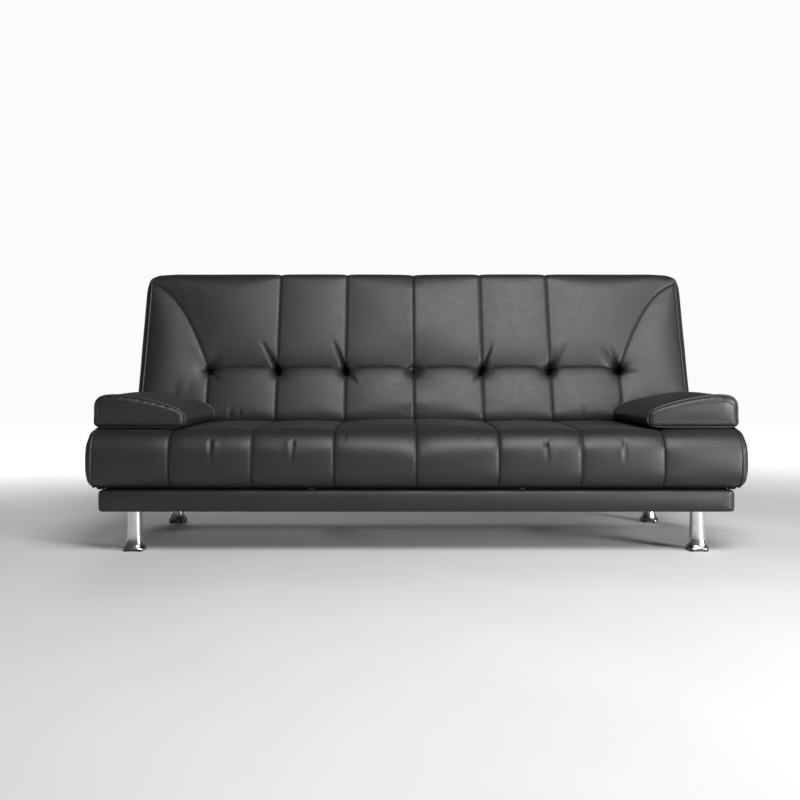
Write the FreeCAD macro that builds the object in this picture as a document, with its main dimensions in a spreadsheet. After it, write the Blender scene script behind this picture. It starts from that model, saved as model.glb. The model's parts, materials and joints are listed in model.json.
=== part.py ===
"""Three-seat futon sofa bed with a click-clack back, lift-off wedge arms and chrome legs.

Millimetres. +X runs to the sitter's left-hand end as seen from the front (right in a front view), +Y to
the rear and +Z up. The origin lies on the floor under the middle of the upright sofa.
"""

import FreeCAD, Part
import math
import os
import re
import Sketcher

FOLDER = "parts"
MAX_NAME = 60

# Driving dimensions: alias, value in mm (or degrees), what it is.
DRIVING = [
    ("seat_width", 1800, "seat and back, end to end"),
    ("seat_depth", 538, "seat pad, front to rear"),
    ("seat_top", 345, "floor to seat surface"),
    ("seat_thickness", 163, "seat pad"),
    ("seat_front_radius", 78, "roll of the seat's front upper edge"),
    ("seat_lower_radius", 45, "roll of the seat's front lower edge"),
    ("meeting_radius", 42, "rolled edges of seat and back where they meet"),
    ("end_gap", 8, "pad end to hinge axis"),
    ("pivot_inset", 35, "hinge axis under the padded face"),
    ("back_length", 556, "hinge axis to the top of the back"),
    ("back_thickness", 130, "back pad"),
    ("back_lean", 19.5, "back from the vertical, degrees"),
    ("back_edge_radius", 45, "top edges of the back"),
    ("rail_side_inset", 21, "seat end to rail end"),
    ("rail_rear_reach", 152, "seat rear to rail rear"),
    ("rail_height", 62, "padded base rail"),
    ("rail_setback", 30, "seat front to rail front"),
    ("rail_padding", 12, "foam and cover on the outside of the rail"),
    ("rail_wrap", 6, "cover above and below the board"),
    ("rail_edge_radius", 11, "outer long edges of the rail"),
    ("board_thickness", 22, "base boards"),
    ("cross_bar_place", 290, "middle of the sofa to a cross bar"),
    ("leg_height", 113, "floor to the underside of the rail"),
    ("leg_diameter", 40, "leg tube"),
    ("leg_side_inset", 115, "seat end to leg axis"),
    ("leg_edge_inset", 58, "rail face to leg axis"),
    ("foot_spread", 15, "flare of the foot beyond the leg"),
    ("foot_rim", 7, "height of the foot's rim"),
    ("flare_radius", 13, "sweep from leg to foot"),
    ("scallop_radius", 13, "hollow between two toes"),
    ("toe_pad_diameter", 13, "rubber pad under a toe"),
    ("toe_pad_height", 5, "rubber pad under a toe"),
    ("toe_inset", 8, "foot's rim to the middle of a toe pad"),
    ("stud_diameter", 10, "threaded stud of a leg"),
    ("stud_engagement", 18, "stud inside the leg"),
    ("corner_plate_size", 104, "plywood corner plate"),
    ("corner_plate_thickness", 18, "plywood corner plate"),
    ("tube_size", 25, "square frame tube"),
    ("tube_wall", 1.5, "square frame tube"),
    ("frame_side_inset", 38, "pad end to frame"),
    ("seat_frame_front_inset", 48, "seat front to frame"),
    ("seat_frame_rear_inset", 33, "seat rear to frame"),
    ("back_frame_start", 40, "hinge axis to the back's lower tube"),
    ("back_frame_top_inset", 50, "back top to frame"),
    ("cavity_clearance", 3, "foam to frame"),
    ("cover_thickness", 2, "dust cover and rear panel"),
    ("cross_tube_place", 400, "middle of the sofa to a cross tube"),
    ("spring_wire", 3.6, "sinuous spring wire"),
    ("spring_bar", 30, "straight part of a spring loop"),
    ("spring_pitch", 24, "loop to loop along a spring"),
    ("spring_spacing", 200, "spring to spring"),
    ("clip_width", 18, "spring clip"),
    ("clip_depth", 8, "spring clip"),
    ("clip_height", 8, "spring clip"),
    ("plate_thickness", 4, "hinge plates"),
    ("plate_place", 752, "middle of the sofa to the inner hinge plate"),
    ("washer_thickness", 1, "between plates"),
    ("seat_plate_radius", 22, "hub of the seat's hinge plate"),
    ("back_plate_radius", 24, "hub of the back's hinge plate"),
    ("ratchet_radius", 26, "toothed quadrant"),
    ("tooth_depth", 3.5, "toothed quadrant"),
    ("tooth_width", 4, "toothed quadrant"),
    ("tooth_steps", 6, "clicks between upright and flat"),
    ("pivot_bolt_diameter", 12, "shank of the hinge bolt"),
    ("bolt_head_diameter", 22, "hinge bolt head and nut"),
    ("bolt_head_height", 6, "hinge bolt head and nut"),
    ("pawl_drop", 62, "pawl pin below the hinge axis"),
    ("pawl_offset", 16, "pawl pin in front of the hinge axis"),
    ("pawl_width", 10, "pawl lever"),
    ("pawl_pin_diameter", 8, "pawl pin"),
    ("pawl_tip_gap", 0.6, "raised pawl to the teeth"),
    ("notch_inset", 8, "inner hinge plate to the pad's notch"),
    ("notch_width", 44, "notch in the pads for a hinge"),
    ("notch_depth", 38, "notch in the seat pad"),
    ("lift_pin_diameter", 10, "pin that the seat tips on"),
    ("lift_pin_setback", 97, "seat rear to the tipping pin"),
    ("lift_tail", 16, "frame tube behind the tipping pin"),
    ("bracket_thickness", 4, "tipping bracket"),
    ("bracket_radius", 12, "tipping bracket round its pin"),
    ("bracket_length", 50, "tipping bracket"),
    ("bracket_bolt_diameter", 6, "bracket bolts"),
    ("bracket_bolt_head", 11, "bracket bolts"),
    ("bumper_diameter", 20, "rubber bumper under the seat"),
    ("arm_length", 450, "arm pad, front to rear"),
    ("arm_width", 250, "arm pad, across"),
    ("arm_height", 85, "arm pad at its outer side"),
    ("arm_nose_height", 40, "arm pad at its inner side"),
    ("arm_shoulder", 44, "flat top at the arm's outer side"),
    ("arm_top_radius", 30, "outer upper edge of an arm"),
    ("arm_nose_radius", 18, "inner edges of an arm"),
    ("arm_side_inset", 10, "seat end to arm"),
    ("arm_front_inset", 55, "seat front to arm"),
    ("arm_board_inset", 30, "arm board inside its pad"),
    ("arm_board_thickness", 12, "arm board"),
    ("arm_gap", 2.5, "arm underside over the seat surface"),
    ("peg_diameter", 16, "arm peg"),
    ("peg_length", 90, "arm peg below its board"),
    ("peg_front_inset", 100, "arm front to its front peg"),
    ("peg_spacing", 250, "front peg to rear peg"),
    ("socket_wall", 3, "arm socket tube"),
    ("running_clearance", 0.05, "radial, pins and pegs in their holes"),
    ("body_clearance", 0.3, "between pieces that move past each other"),
]

# Sizes that follow from the driving ones.
DERIVED = [
    ("half_width", "seat_width / 2"),
    ("pivot_depth", "seat_depth + end_gap"),
    ("pivot_z", "seat_top - pivot_inset"),
    ("back_front", "-pivot_inset"),
    ("back_rear", "back_thickness - pivot_inset"),
    ("lean_sine", "sin(back_lean * 1deg)"),
    ("lean_cosine", "cos(back_lean * 1deg)"),
    (
        "overall_depth",
        "pivot_depth + (back_length - back_edge_radius) * lean_sine"
        " + (back_rear - back_edge_radius) * lean_cosine + back_edge_radius",
    ),
    ("front_y", "-overall_depth / 2"),
    ("pivot_y", "front_y + pivot_depth"),
    ("seat_underside", "seat_top - seat_thickness"),
    ("rail_top", "leg_height + rail_height"),
    ("rail_half", "half_width - rail_side_inset"),
    ("rail_rear", "seat_depth + rail_rear_reach"),
    ("board_half", "rail_half - rail_padding"),
    ("board_inner_half", "board_half - board_thickness"),
    ("board_front", "rail_setback + rail_padding"),
    ("board_front_inner", "board_front + board_thickness"),
    ("board_rear", "rail_rear - rail_padding"),
    ("board_rear_inner", "board_rear - board_thickness"),
    ("board_bottom", "leg_height + rail_wrap"),
    ("board_height", "rail_height - 2 * rail_wrap"),
    ("leg_place", "half_width - leg_side_inset"),
    ("leg_radius", "leg_diameter / 2"),
    ("foot_radius", "leg_radius + foot_spread"),
    ("toe_radius", "foot_radius - toe_inset"),
    ("frame_half", "half_width - frame_side_inset"),
    ("frame_inner_half", "frame_half - tube_size"),
    ("frame_bottom", "seat_underside + cover_thickness"),
    ("frame_top", "frame_bottom + tube_size"),
    ("frame_front", "seat_frame_front_inset"),
    ("frame_rear", "seat_depth - seat_frame_rear_inset"),
    ("bracket_foot", "leg_height + corner_plate_thickness"),
    ("bracket_rise", "board_bottom + board_height - bracket_foot"),
    ("lift_depth", "seat_depth + lift_pin_setback"),
    ("lift_z", "frame_bottom + tube_size / 2"),
    ("back_tube_rear", "back_rear - cover_thickness"),
    ("back_tube_front", "back_tube_rear - tube_size"),
    ("back_frame_top", "back_length - back_frame_top_inset"),
    ("cavity_half", "frame_half + cavity_clearance"),
    ("ratchet_place", "plate_place + plate_thickness + washer_thickness"),
    ("back_plate_place", "ratchet_place + plate_thickness"),
    ("bolt_radius", "pivot_bolt_diameter / 2"),
    ("pivot_bore", "bolt_radius + running_clearance"),
    ("pawl_depth", "pivot_depth - pawl_offset"),
    ("pawl_z", "pivot_z - pawl_drop"),
    ("pawl_reach", "sqrt(pawl_drop ^ 2 + pawl_offset ^ 2) - ratchet_radius - pawl_tip_gap"),
    ("pawl_angle", "atan(pawl_offset / pawl_drop) / 1deg"),
    ("arm_outer", "half_width - arm_side_inset"),
    ("arm_inner", "arm_outer - arm_width"),
    ("arm_bottom", "seat_top + arm_gap"),
    ("peg_place", "frame_half - tube_size / 2"),
    ("peg_radius", "peg_diameter / 2"),
    ("socket_bore", "peg_radius + running_clearance"),
    ("socket_radius", "socket_bore + socket_wall"),
]

# Where a piece's own axes start: on the floor at the seat's front, or on the back's hinge axis, leaning.
FRAMES = {
    "ground": "placement(vector(0; front_y; 0); rotation(vector(1; 0; 0); 0))",
    "back": "placement(vector(0; pivot_y; pivot_z); rotation(vector(1; 0; 0); -back_lean))",
}

SIDES = (("left", -1), ("right", 1))
SPRING_ROWS = 4
TOES = 4

document = FreeCAD.newDocument("FutonSofaBed")
sheet = document.addObject("Spreadsheet::Sheet", "Sizes")
derived = document.addObject("App::VarSet", "Derived")
references = {}
finished = []


def ref(text):
    """An expression in which each named size is given by its full name."""
    return re.sub(r"\b[a-z][a-z_]*\b", lambda word: references.get(word.group(), word.group()), str(text))


def value(text):
    """The present number that an expression stands for."""
    result = sheet.evalExpression(ref(text))
    return float(getattr(result, "Value", result))


def fill_sizes():
    """Write the driving sizes to the sheet and the ones that follow to the variable set."""
    for row, (alias, number, meaning) in enumerate(DRIVING, start=1):
        sheet.set(f"A{row}", meaning)
        sheet.set(f"B{row}", str(number))
        sheet.setAlias(f"B{row}", alias)
        references[alias] = f"Sizes.{alias}"
    document.recompute()
    for name, text in DERIVED:
        derived.addProperty("App::PropertyFloat", name, "Derived")
        derived.setExpression(name, ref(text))
        references[name] = f"Derived.{name}"
        document.recompute()


def placed(piece, frame, x="0", y="0", z="0", axis="1; 0; 0", turn="0"):
    """Bind a piece's placement to a point of a frame, turned about an axis there."""
    spot = f"placement(vector({x}; {y}; {z}); rotation(vector({axis}); {turn}))"
    piece.setExpression("Placement", ref(f"{FRAMES[frame]} * {spot}"))
    return piece


def publish(piece, label):
    """Give a finished sub-part the label that names its file."""
    piece.Label = label
    finished.append(piece)
    return piece


def box(name, frame, x, y, z, length, width, height):
    """A block whose low corner is at x, y, z."""
    block = document.addObject("Part::Box", name)
    block.setExpression("Length", ref(length))
    block.setExpression("Width", ref(width))
    block.setExpression("Height", ref(height))
    return placed(block, frame, x, y, z)


def cylinder(name, frame, x, y, z, radius, height, axis="1; 0; 0", turn="0"):
    """A round bar that starts at x, y, z and runs along +Z before it is turned."""
    bar = document.addObject("Part::Cylinder", name)
    bar.setExpression("Radius", ref(radius))
    bar.setExpression("Height", ref(height))
    return placed(bar, frame, x, y, z, axis, turn)


def cross_bar(name, frame, x, y, z, radius, length):
    """A round bar that starts at x, y, z and runs along +X."""
    return cylinder(name, frame, x, y, z, radius, length, "0; 1; 0", "90")


def group(name, pieces):
    """Several separate solids kept together."""
    together = document.addObject("Part::Compound", name)
    together.Links = pieces
    return together


def cut(name, base, tools):
    """A base with one or more tools taken away."""
    result = document.addObject("Part::Cut", name)
    result.Base = base
    result.Tool = tools[0] if len(tools) == 1 else group(name + "_tools", tools)
    return result


def fuse(name, pieces):
    """Pieces welded into one solid."""
    result = document.addObject("Part::MultiFuse", name)
    result.Shapes = pieces
    return result


def pin_point(sketch, item, end, across, up):
    """Hold one point of a sketch at two expressions."""
    for kind, text in (("DistanceX", across), ("DistanceY", up)):
        index = sketch.addConstraint(Sketcher.Constraint(kind, -1, 1, item, end, value(text)))
        sketch.setExpression(f"Constraints[{index}]", ref(text))


def draw_polygon(sketch, corners):
    """A closed run of straight lines through corners given as pairs of expressions."""
    first = sketch.GeometryCount
    count = len(corners)
    points = [FreeCAD.Vector(value(across), value(up), 0) for across, up in corners]
    for index in range(count):
        sketch.addGeometry(Part.LineSegment(points[index], points[(index + 1) % count]))
    for index in range(count):
        following = first + (index + 1) % count
        sketch.addConstraint(Sketcher.Constraint("Coincident", first + index, 2, following, 1))
    for index, (across, up) in enumerate(corners):
        pin_point(sketch, first + index, 1, across, up)


def draw_circle(sketch, across, up, radius):
    """A circle about a point."""
    centre = FreeCAD.Vector(value(across), value(up), 0)
    ring = sketch.addGeometry(Part.Circle(centre, FreeCAD.Vector(0, 0, 1), value(radius)))
    pin_point(sketch, ring, 3, across, up)
    index = sketch.addConstraint(Sketcher.Constraint("Radius", ring, value(radius)))
    sketch.setExpression(f"Constraints[{index}]", ref(radius))


def new_sketch(body, name, plane):
    """A sketch on one of a body's own origin planes."""
    sketch = body.newObject("Sketcher::SketchObject", name)
    role = plane + "_Plane"
    flat = [item for item in body.Origin.OriginFeatures if item.Role == role][0]
    sketch.AttachmentSupport = [(flat, "")]
    sketch.MapMode = "FlatFace"
    return sketch


def edges_at(feature, plane, across, up):
    """Names of the edges that run square to a plane through one of its points."""
    first, second = {"YZ": (1, 2), "XZ": (0, 2), "XY": (0, 1)}[plane]
    names = []
    for index, edge in enumerate(feature.Shape.Edges, start=1):
        ends = [vertex.Point for vertex in edge.Vertexes]
        near = all(
            abs(end[first] - value(across)) < 1e-4 and abs(end[second] - value(up)) < 1e-4 for end in ends
        )
        if near and len(ends) == 2:
            names.append(f"Edge{index}")
    return names


def extruded(name, frame, plane, start, length, corners, holes=(), fillets=()):
    """A body padded from a polygon with round holes, some of its long edges filleted.

    The profile lies in the named plane at start along that plane's normal, and is padded towards +X, +Y or
    +Z. Each fillet is a corner's index and a radius.
    """
    body = document.addObject("PartDesign::Body", name)
    offsets = {"YZ": (start, "0", "0"), "XZ": ("0", start, "0"), "XY": ("0", "0", start)}[plane]
    placed(body, frame, *offsets)
    sketch = new_sketch(body, name + "_profile", plane)
    draw_polygon(sketch, corners)
    for across, up, radius in holes:
        draw_circle(sketch, across, up, radius)
    feature = body.newObject("PartDesign::Pad", name + "_pad")
    feature.Profile = sketch
    feature.setExpression("Length", ref(length))
    feature.Reversed = plane == "XZ"
    document.recompute()
    for index, radius in fillets:
        names = edges_at(feature, plane, *corners[index])
        rounded = body.newObject("PartDesign::Fillet", f"{name}_round_{index}")
        rounded.Base = (feature, names)
        rounded.setExpression("Radius", ref(radius))
        document.recompute()
        feature = rounded
    body.Tip = feature
    return body


def start_of(sign, near, width):
    """Low end along X of something that reaches outwards from near."""
    return f"({near})" if sign > 0 else f"-(({near}) + ({width}))"


def tube(name, frame, along, start, length, low_across, low_up):
    """A square tube along X or Y (Z in the back's frame), given by the low corner of its section."""
    plane = {"X": "YZ", "Y": "XZ", "Z": "XY"}[along]
    body = extruded(
        name, frame, plane, start, length, rectangle(low_across, low_up, "tube_size", "tube_size")
    )
    sketch = body.Group[0]
    inner = "tube_size - 2 * tube_wall"
    draw_polygon(sketch, rectangle(f"{low_across} + tube_wall", f"{low_up} + tube_wall", inner, inner))
    return body


def rectangle(across, up, width, height):
    """Corners of an upright rectangle from its low corner."""
    return [
        (across, up),
        (f"{across} + {width}", up),
        (f"{across} + {width}", f"{up} + {height}"),
        (across, f"{up} + {height}"),
    ]


def spring_shape(length):
    """A sinuous spring along +Y from the origin: cross bars joined by half turns, lying flat."""
    wire = value("spring_wire") / 2
    bend = value("spring_pitch") / 2
    half = value("spring_bar") / 2
    pitch = value("spring_pitch")
    loops = int((length - 2 * pitch) // pitch)
    lead = (length - loops * pitch) / 2
    edges = []
    here = FreeCAD.Vector(-half, lead, 0)
    edges.append(Part.LineSegment(FreeCAD.Vector(-half, 0, 0), here).toShape())
    side = 1
    corner = bend * (1 - math.sqrt(0.5))
    first_bar = FreeCAD.Vector(-half + bend, lead + bend, 0)
    middle = FreeCAD.Vector(-half + corner, lead + bend - corner, 0)
    edges.append(Part.Arc(here, middle, first_bar).toShape())
    here = first_bar
    for loop in range(loops - 2):
        there = FreeCAD.Vector(side * half, here.y, 0)
        edges.append(Part.LineSegment(here, there).toShape())
        above = FreeCAD.Vector(side * half, here.y + pitch, 0)
        middle = FreeCAD.Vector(side * (half + bend), here.y + bend, 0)
        edges.append(Part.Arc(there, middle, above).toShape())
        here = above
        side = -side
    last_turn = FreeCAD.Vector(side * (half - bend), here.y, 0)
    edges.append(Part.LineSegment(here, last_turn).toShape())
    away = FreeCAD.Vector(side * half, here.y + bend, 0)
    middle = FreeCAD.Vector(side * (half - corner), here.y + corner, 0)
    edges.append(Part.Arc(last_turn, middle, away).toShape())
    edges.append(Part.LineSegment(away, FreeCAD.Vector(side * half, length, 0)).toShape())
    path = Part.Wire(edges)
    section = Part.Wire(
        Part.Circle(FreeCAD.Vector(-half, 0, 0), FreeCAD.Vector(0, 1, 0), wire).toShape()
    )
    return path.makePipeShell([section], True, False), side


def spring_bank(name, clips_name, length, frame_matrix):
    """All the springs of a seat or back, and the clips that hold their ends, in a flat plane."""
    springs = []
    clips = []
    shape, last_side = spring_shape(length)
    half = value("spring_bar") / 2
    width = value("clip_width")
    depth = value("clip_depth")
    height = value("clip_height")
    for row in range(-SPRING_ROWS, SPRING_ROWS):
        place = (row + 0.5) * value("spring_spacing")
        spring = shape.copy()
        spring.translate(FreeCAD.Vector(place, depth, 0))
        springs.append(spring)
        for side, start in ((-1, 0), (last_side, depth + length)):
            corner = FreeCAD.Vector(place + side * half - width / 2, start, -height / 2)
            clips.append(Part.makeBox(width, depth, height, corner))
    for label, shapes in ((name, springs), (clips_name, clips)):
        bank = document.addObject("Part::Feature", label)
        bank.Shape = Part.makeCompound(shapes)
        bank.Placement = frame_matrix
        publish(bank, label)


def frame_placement(frame, x, y, z, turn=0):
    """The present placement of a point of a frame, for shapes that are worked out here."""
    point = FreeCAD.Vector(value(x), value(y), value(z))
    local = FreeCAD.Placement(point, FreeCAD.Rotation(FreeCAD.Vector(1, 0, 0), turn))
    if frame == "ground":
        start = FreeCAD.Placement(FreeCAD.Vector(0, value("front_y"), 0), FreeCAD.Rotation())
    else:
        origin = FreeCAD.Vector(0, value("pivot_y"), value("pivot_z"))
        start = FreeCAD.Placement(
            origin, FreeCAD.Rotation(FreeCAD.Vector(1, 0, 0), -value("back_lean"))
        )
    return start.multiply(local)


def base_rails():
    """Boards of the base frame, and the padded covers that wrap their outsides."""
    cross_bars = []
    runs = {
        "front": ("-board_half", "board_front", "2 * board_half", "board_thickness"),
        "rear": ("-board_half", "board_rear_inner", "2 * board_half", "board_thickness"),
        "left": ("-board_half", "board_front_inner", "board_thickness", "board_rear_inner - board_front_inner"),
        "right": (
            "board_inner_half",
            "board_front_inner",
            "board_thickness",
            "board_rear_inner - board_front_inner",
        ),
    }
    boards = {}
    for place, (x, y, length, width) in runs.items():
        name = f"{place}_rail_board"
        boards[place] = box(name + "_blank", "ground", x, y, "board_bottom", length, width, "board_height")
    long_profile = {
        "front": ("rail_setback", "board_front_inner", (0, 3)),
        "rear": ("board_rear_inner", "rail_rear", (1, 2)),
    }
    for place, (near, far, outer) in long_profile.items():
        corners = [(near, "leg_height"), (far, "leg_height"), (far, "rail_top"), (near, "rail_top")]
        fillets = [(index, "rail_edge_radius") for index in outer]
        blank = extruded(
            f"{place}_rail_blank", "ground", "YZ", "-rail_half", "2 * rail_half", corners, fillets=fillets
        )
        publish(cut(f"{place}_rail_cover_cut", blank, [boards[place]]), f"{place}_rail_cover")
    for place, sign in SIDES:
        near = "board_inner_half" if sign > 0 else "-rail_half"
        far = "rail_half" if sign > 0 else "-board_inner_half"
        corners = [(near, "leg_height"), (far, "leg_height"), (far, "rail_top"), (near, "rail_top")]
        outer = (1, 2) if sign > 0 else (0, 3)
        blank = extruded(
            f"{place}_rail_blank",
            "ground",
            "XZ",
            "board_front_inner",
            "board_rear_inner - board_front_inner",
            corners,
            fillets=[(index, "rail_edge_radius") for index in outer],
        )
        publish(cut(f"{place}_rail_cover_cut", blank, [boards[place]]), f"{place}_rail_cover")
    for place in ("front", "rear"):
        publish(boards[place], f"{place}_rail_board")
    for place, sign in SIDES:
        x = start_of(sign, "cross_bar_place", "board_thickness")
        bar = box(
            f"base_cross_bar_{place}",
            "ground",
            x,
            "board_front_inner",
            "board_bottom",
            "board_thickness",
            "board_rear_inner - board_front_inner",
            "board_height",
        )
        cross_bars.append(bar)
    publish(group("base_cross_bars_group", cross_bars), "base_cross_bars")
    return boards


def legs():
    """Chrome legs with scalloped feet, their rubber toe pads, studs and corner plates."""
    studs = []
    plates = []
    for end, near, step in (("front", "rail_setback", 1), ("rear", "rail_rear", -1)):
        depth = f"({near} + {step} * leg_edge_inset)"
        wall = "board_front_inner" if step > 0 else "board_rear_inner"
        for side, sign in SIDES:
            name = f"{end}_{side}"
            x = f"{sign} * leg_place"
            stud = cylinder(
                f"stud_{name}",
                "ground",
                x,
                depth,
                "leg_height - stud_engagement",
                "stud_diameter / 2",
                "stud_engagement + corner_plate_thickness",
            )
            studs.append(stud)
            outline = [
                ("0", "toe_pad_height"),
                ("foot_radius", "toe_pad_height"),
                ("foot_radius", "toe_pad_height + foot_rim"),
                ("leg_radius", "toe_pad_height + foot_rim"),
                ("leg_radius", "leg_height"),
                ("0", "leg_height"),
            ]
            body = document.addObject("PartDesign::Body", f"leg_{name}_turned")
            placed(body, "ground", x, depth, "0")
            sketch = new_sketch(body, f"leg_{name}_profile", "XZ")
            draw_polygon(sketch, outline)
            turned = body.newObject("PartDesign::Revolution", f"leg_{name}_revolution")
            turned.Profile = sketch
            turned.ReferenceAxis = (sketch, ["V_Axis"])
            turned.Angle = 360
            document.recompute()
            flare = body.newObject("PartDesign::Fillet", f"leg_{name}_flare")
            flare.Base = (turned, inner_corner(turned))
            flare.setExpression("Radius", ref("flare_radius"))
            document.recompute()
            body.Tip = flare
            hollows = []
            pads = []
            for toe in range(TOES):
                between = 360 / TOES * toe
                reach = "(foot_radius + scallop_radius / 3)"
                hollow_x = f"{x} + {reach} * cos({between}deg)"
                hollow_y = f"{depth} + {reach} * sin({between}deg)"
                hollows.append(
                    cylinder(
                        f"hollow_{name}_{toe}",
                        "ground",
                        hollow_x,
                        hollow_y,
                        "0",
                        "scallop_radius",
                        "toe_pad_height + foot_rim + flare_radius",
                    )
                )
                angle = between + 180 / TOES
                pad_x = f"{x} + toe_radius * cos({angle}deg)"
                pad_y = f"{depth} + toe_radius * sin({angle}deg)"
                pads.append(
                    cylinder(
                        f"pad_{name}_{toe}",
                        "ground",
                        pad_x,
                        pad_y,
                        "0",
                        "toe_pad_diameter / 2",
                        "toe_pad_height",
                    )
                )
            publish(cut(f"leg_{name}_cut", body, hollows + [stud]), f"leg_{name}")
            publish(group(f"toe_pads_{name}_group", pads), f"toe_pads_{name}")
            corner = f"{sign} * board_inner_half"
            inner = f"{sign} * (board_inner_half - corner_plate_size)"
            far = f"({wall} + {step} * corner_plate_size)"
            half_far = f"({wall} + {step} * corner_plate_size / 2)"
            half_inner = f"{sign} * (board_inner_half - corner_plate_size / 2)"
            plate = extruded(
                f"corner_plate_{name}",
                "ground",
                "XY",
                "leg_height",
                "corner_plate_thickness",
                [(corner, wall), (inner, wall), (inner, half_far), (half_inner, far), (corner, far)],
                holes=[(x, depth, "stud_diameter / 2")],
            )
            plates.append(plate)
    publish(group("leg_studs_group", studs), "leg_studs")
    publish(group("corner_plates_group", plates), "corner_plates")


def inner_corner(turned):
    """Names of the ring edges where the leg meets the top of its foot."""
    radius = value("leg_radius")
    height = value("toe_pad_height + foot_rim")
    names = []
    for index, edge in enumerate(turned.Shape.Edges, start=1):
        curve = edge.Curve
        if isinstance(curve, Part.Circle) and abs(curve.Radius - radius) < 1e-4:
            if abs(curve.Center.z - height) < 1e-4:
                names.append(f"Edge{index}")
    return names


def seat_frame():
    """Welded seat frame: side tubes that run on to the tipping pins, front, rear and cross tubes."""
    pins = []
    cross_tubes = []
    for side, sign in SIDES:
        start = start_of(sign, "frame_inner_half", "tube_size")
        whole = tube(
            f"seat_side_{side}_whole",
            "ground",
            "Y",
            "frame_front",
            "lift_depth + lift_tail - frame_front",
            start,
            "frame_bottom",
        )
        pin_length = "bracket_thickness + tube_size + 8"
        pin_start = start_of(sign, "frame_inner_half - bracket_thickness - 4", pin_length)
        pin = cross_bar(
            f"lift_pin_{side}",
            "ground",
            pin_start,
            "lift_depth",
            "lift_z",
            "lift_pin_diameter / 2",
            pin_length,
        )
        pins.append(pin)
        publish(cut(f"seat_side_{side}_cut", whole, [pin]), f"seat_side_tube_{side}")
        cross = tube(
            f"seat_cross_{side}_tube",
            "ground",
            "Y",
            "frame_front + tube_size",
            "frame_rear - frame_front - 2 * tube_size",
            start_of(sign, "cross_tube_place - tube_size / 2", "tube_size"),
            "frame_bottom",
        )
        cross_tubes.append(cross)
    publish(group("lift_pins_group", pins), "lift_pins")
    publish(group("seat_cross_tubes_group", cross_tubes), "seat_cross_tubes")
    for place, depth in (("front", "frame_front"), ("rear", "frame_rear - tube_size")):
        bar = tube(
            f"seat_{place}_bar",
            "ground",
            "X",
            "-frame_inner_half",
            "2 * frame_inner_half",
            depth,
            "frame_bottom",
        )
        publish(bar, f"seat_{place}_tube")
    clip = value("clip_depth")
    gap = value("frame_rear - frame_front - 2 * tube_size") - 2 * clip
    spot = frame_placement("ground", "0", "frame_front + tube_size", "frame_bottom + 0.64 * tube_size")
    spring_bank("seat_springs", "seat_spring_clips", gap, spot)


def notch(name, frame, sign, y, z, width, height):
    """The space that a hinge needs in a pad."""
    start = start_of(sign, "plate_place - notch_inset", "notch_width")
    return box(name, frame, start, y, z, "notch_width", width, height)


def seat_pad():
    """Foam seat with its cover, hollow underneath for the frame, notched for the hinges."""
    sockets = []
    corners = rectangle("0", "seat_underside", "seat_depth", "seat_thickness")
    blank = extruded(
        "seat_pad_blank",
        "ground",
        "YZ",
        "-half_width",
        "seat_width",
        corners,
        fillets=[(3, "seat_front_radius"), (0, "seat_lower_radius"), (2, "meeting_radius")],
    )
    cavity_depth = "frame_rear - frame_front + 2 * cavity_clearance"
    cavity_height = "cover_thickness + tube_size + cavity_clearance"
    front = "frame_front - cavity_clearance"
    tools = [
        box(
            "seat_cavity",
            "ground",
            "-cavity_half",
            front,
            "seat_underside",
            "2 * cavity_half",
            cavity_depth,
            cavity_height,
        )
    ]
    for side, sign in SIDES:
        channel_width = "tube_size + 2 * cavity_clearance"
        tools.append(
            box(
                f"seat_channel_{side}",
                "ground",
                start_of(sign, "frame_inner_half - cavity_clearance", channel_width),
                "frame_rear",
                "seat_underside",
                channel_width,
                "seat_frame_rear_inset + end_gap",
                cavity_height,
            )
        )
        depth = "seat_depth - notch_depth"
        tools.append(
            notch(
                f"seat_notch_{side}", "ground", sign, depth, "seat_underside", "2 * notch_depth", "seat_thickness"
            )
        )
        for place, inset in (("front", "peg_front_inset"), ("rear", "peg_front_inset + peg_spacing")):
            x = f"{sign} * peg_place"
            y = f"arm_front_inset + {inset}"
            height = "seat_top - frame_top - 1"
            well = cylinder(
                f"socket_well_{side}_{place}",
                "ground",
                x,
                y,
                "frame_top",
                "socket_radius + body_clearance",
                "seat_thickness",
            )
            tools.append(well)
            outside = cylinder(f"socket_{side}_{place}", "ground", x, y, "frame_top", "socket_radius", height)
            bore = cylinder(f"socket_{side}_{place}_bore", "ground", x, y, "frame_top", "socket_bore", height)
            sockets.append(cut(f"socket_{side}_{place}_tube", outside, [bore]))
    publish(cut("seat_pad_cut", blank, tools), "seat_pad")
    publish(group("arm_sockets_group", sockets), "arm_sockets")
    cover = box(
        "seat_dust_cover_sheet",
        "ground",
        "-cavity_half",
        front,
        "seat_underside",
        "2 * cavity_half",
        cavity_depth,
        "cover_thickness",
    )
    publish(cover, "seat_dust_cover")


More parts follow.
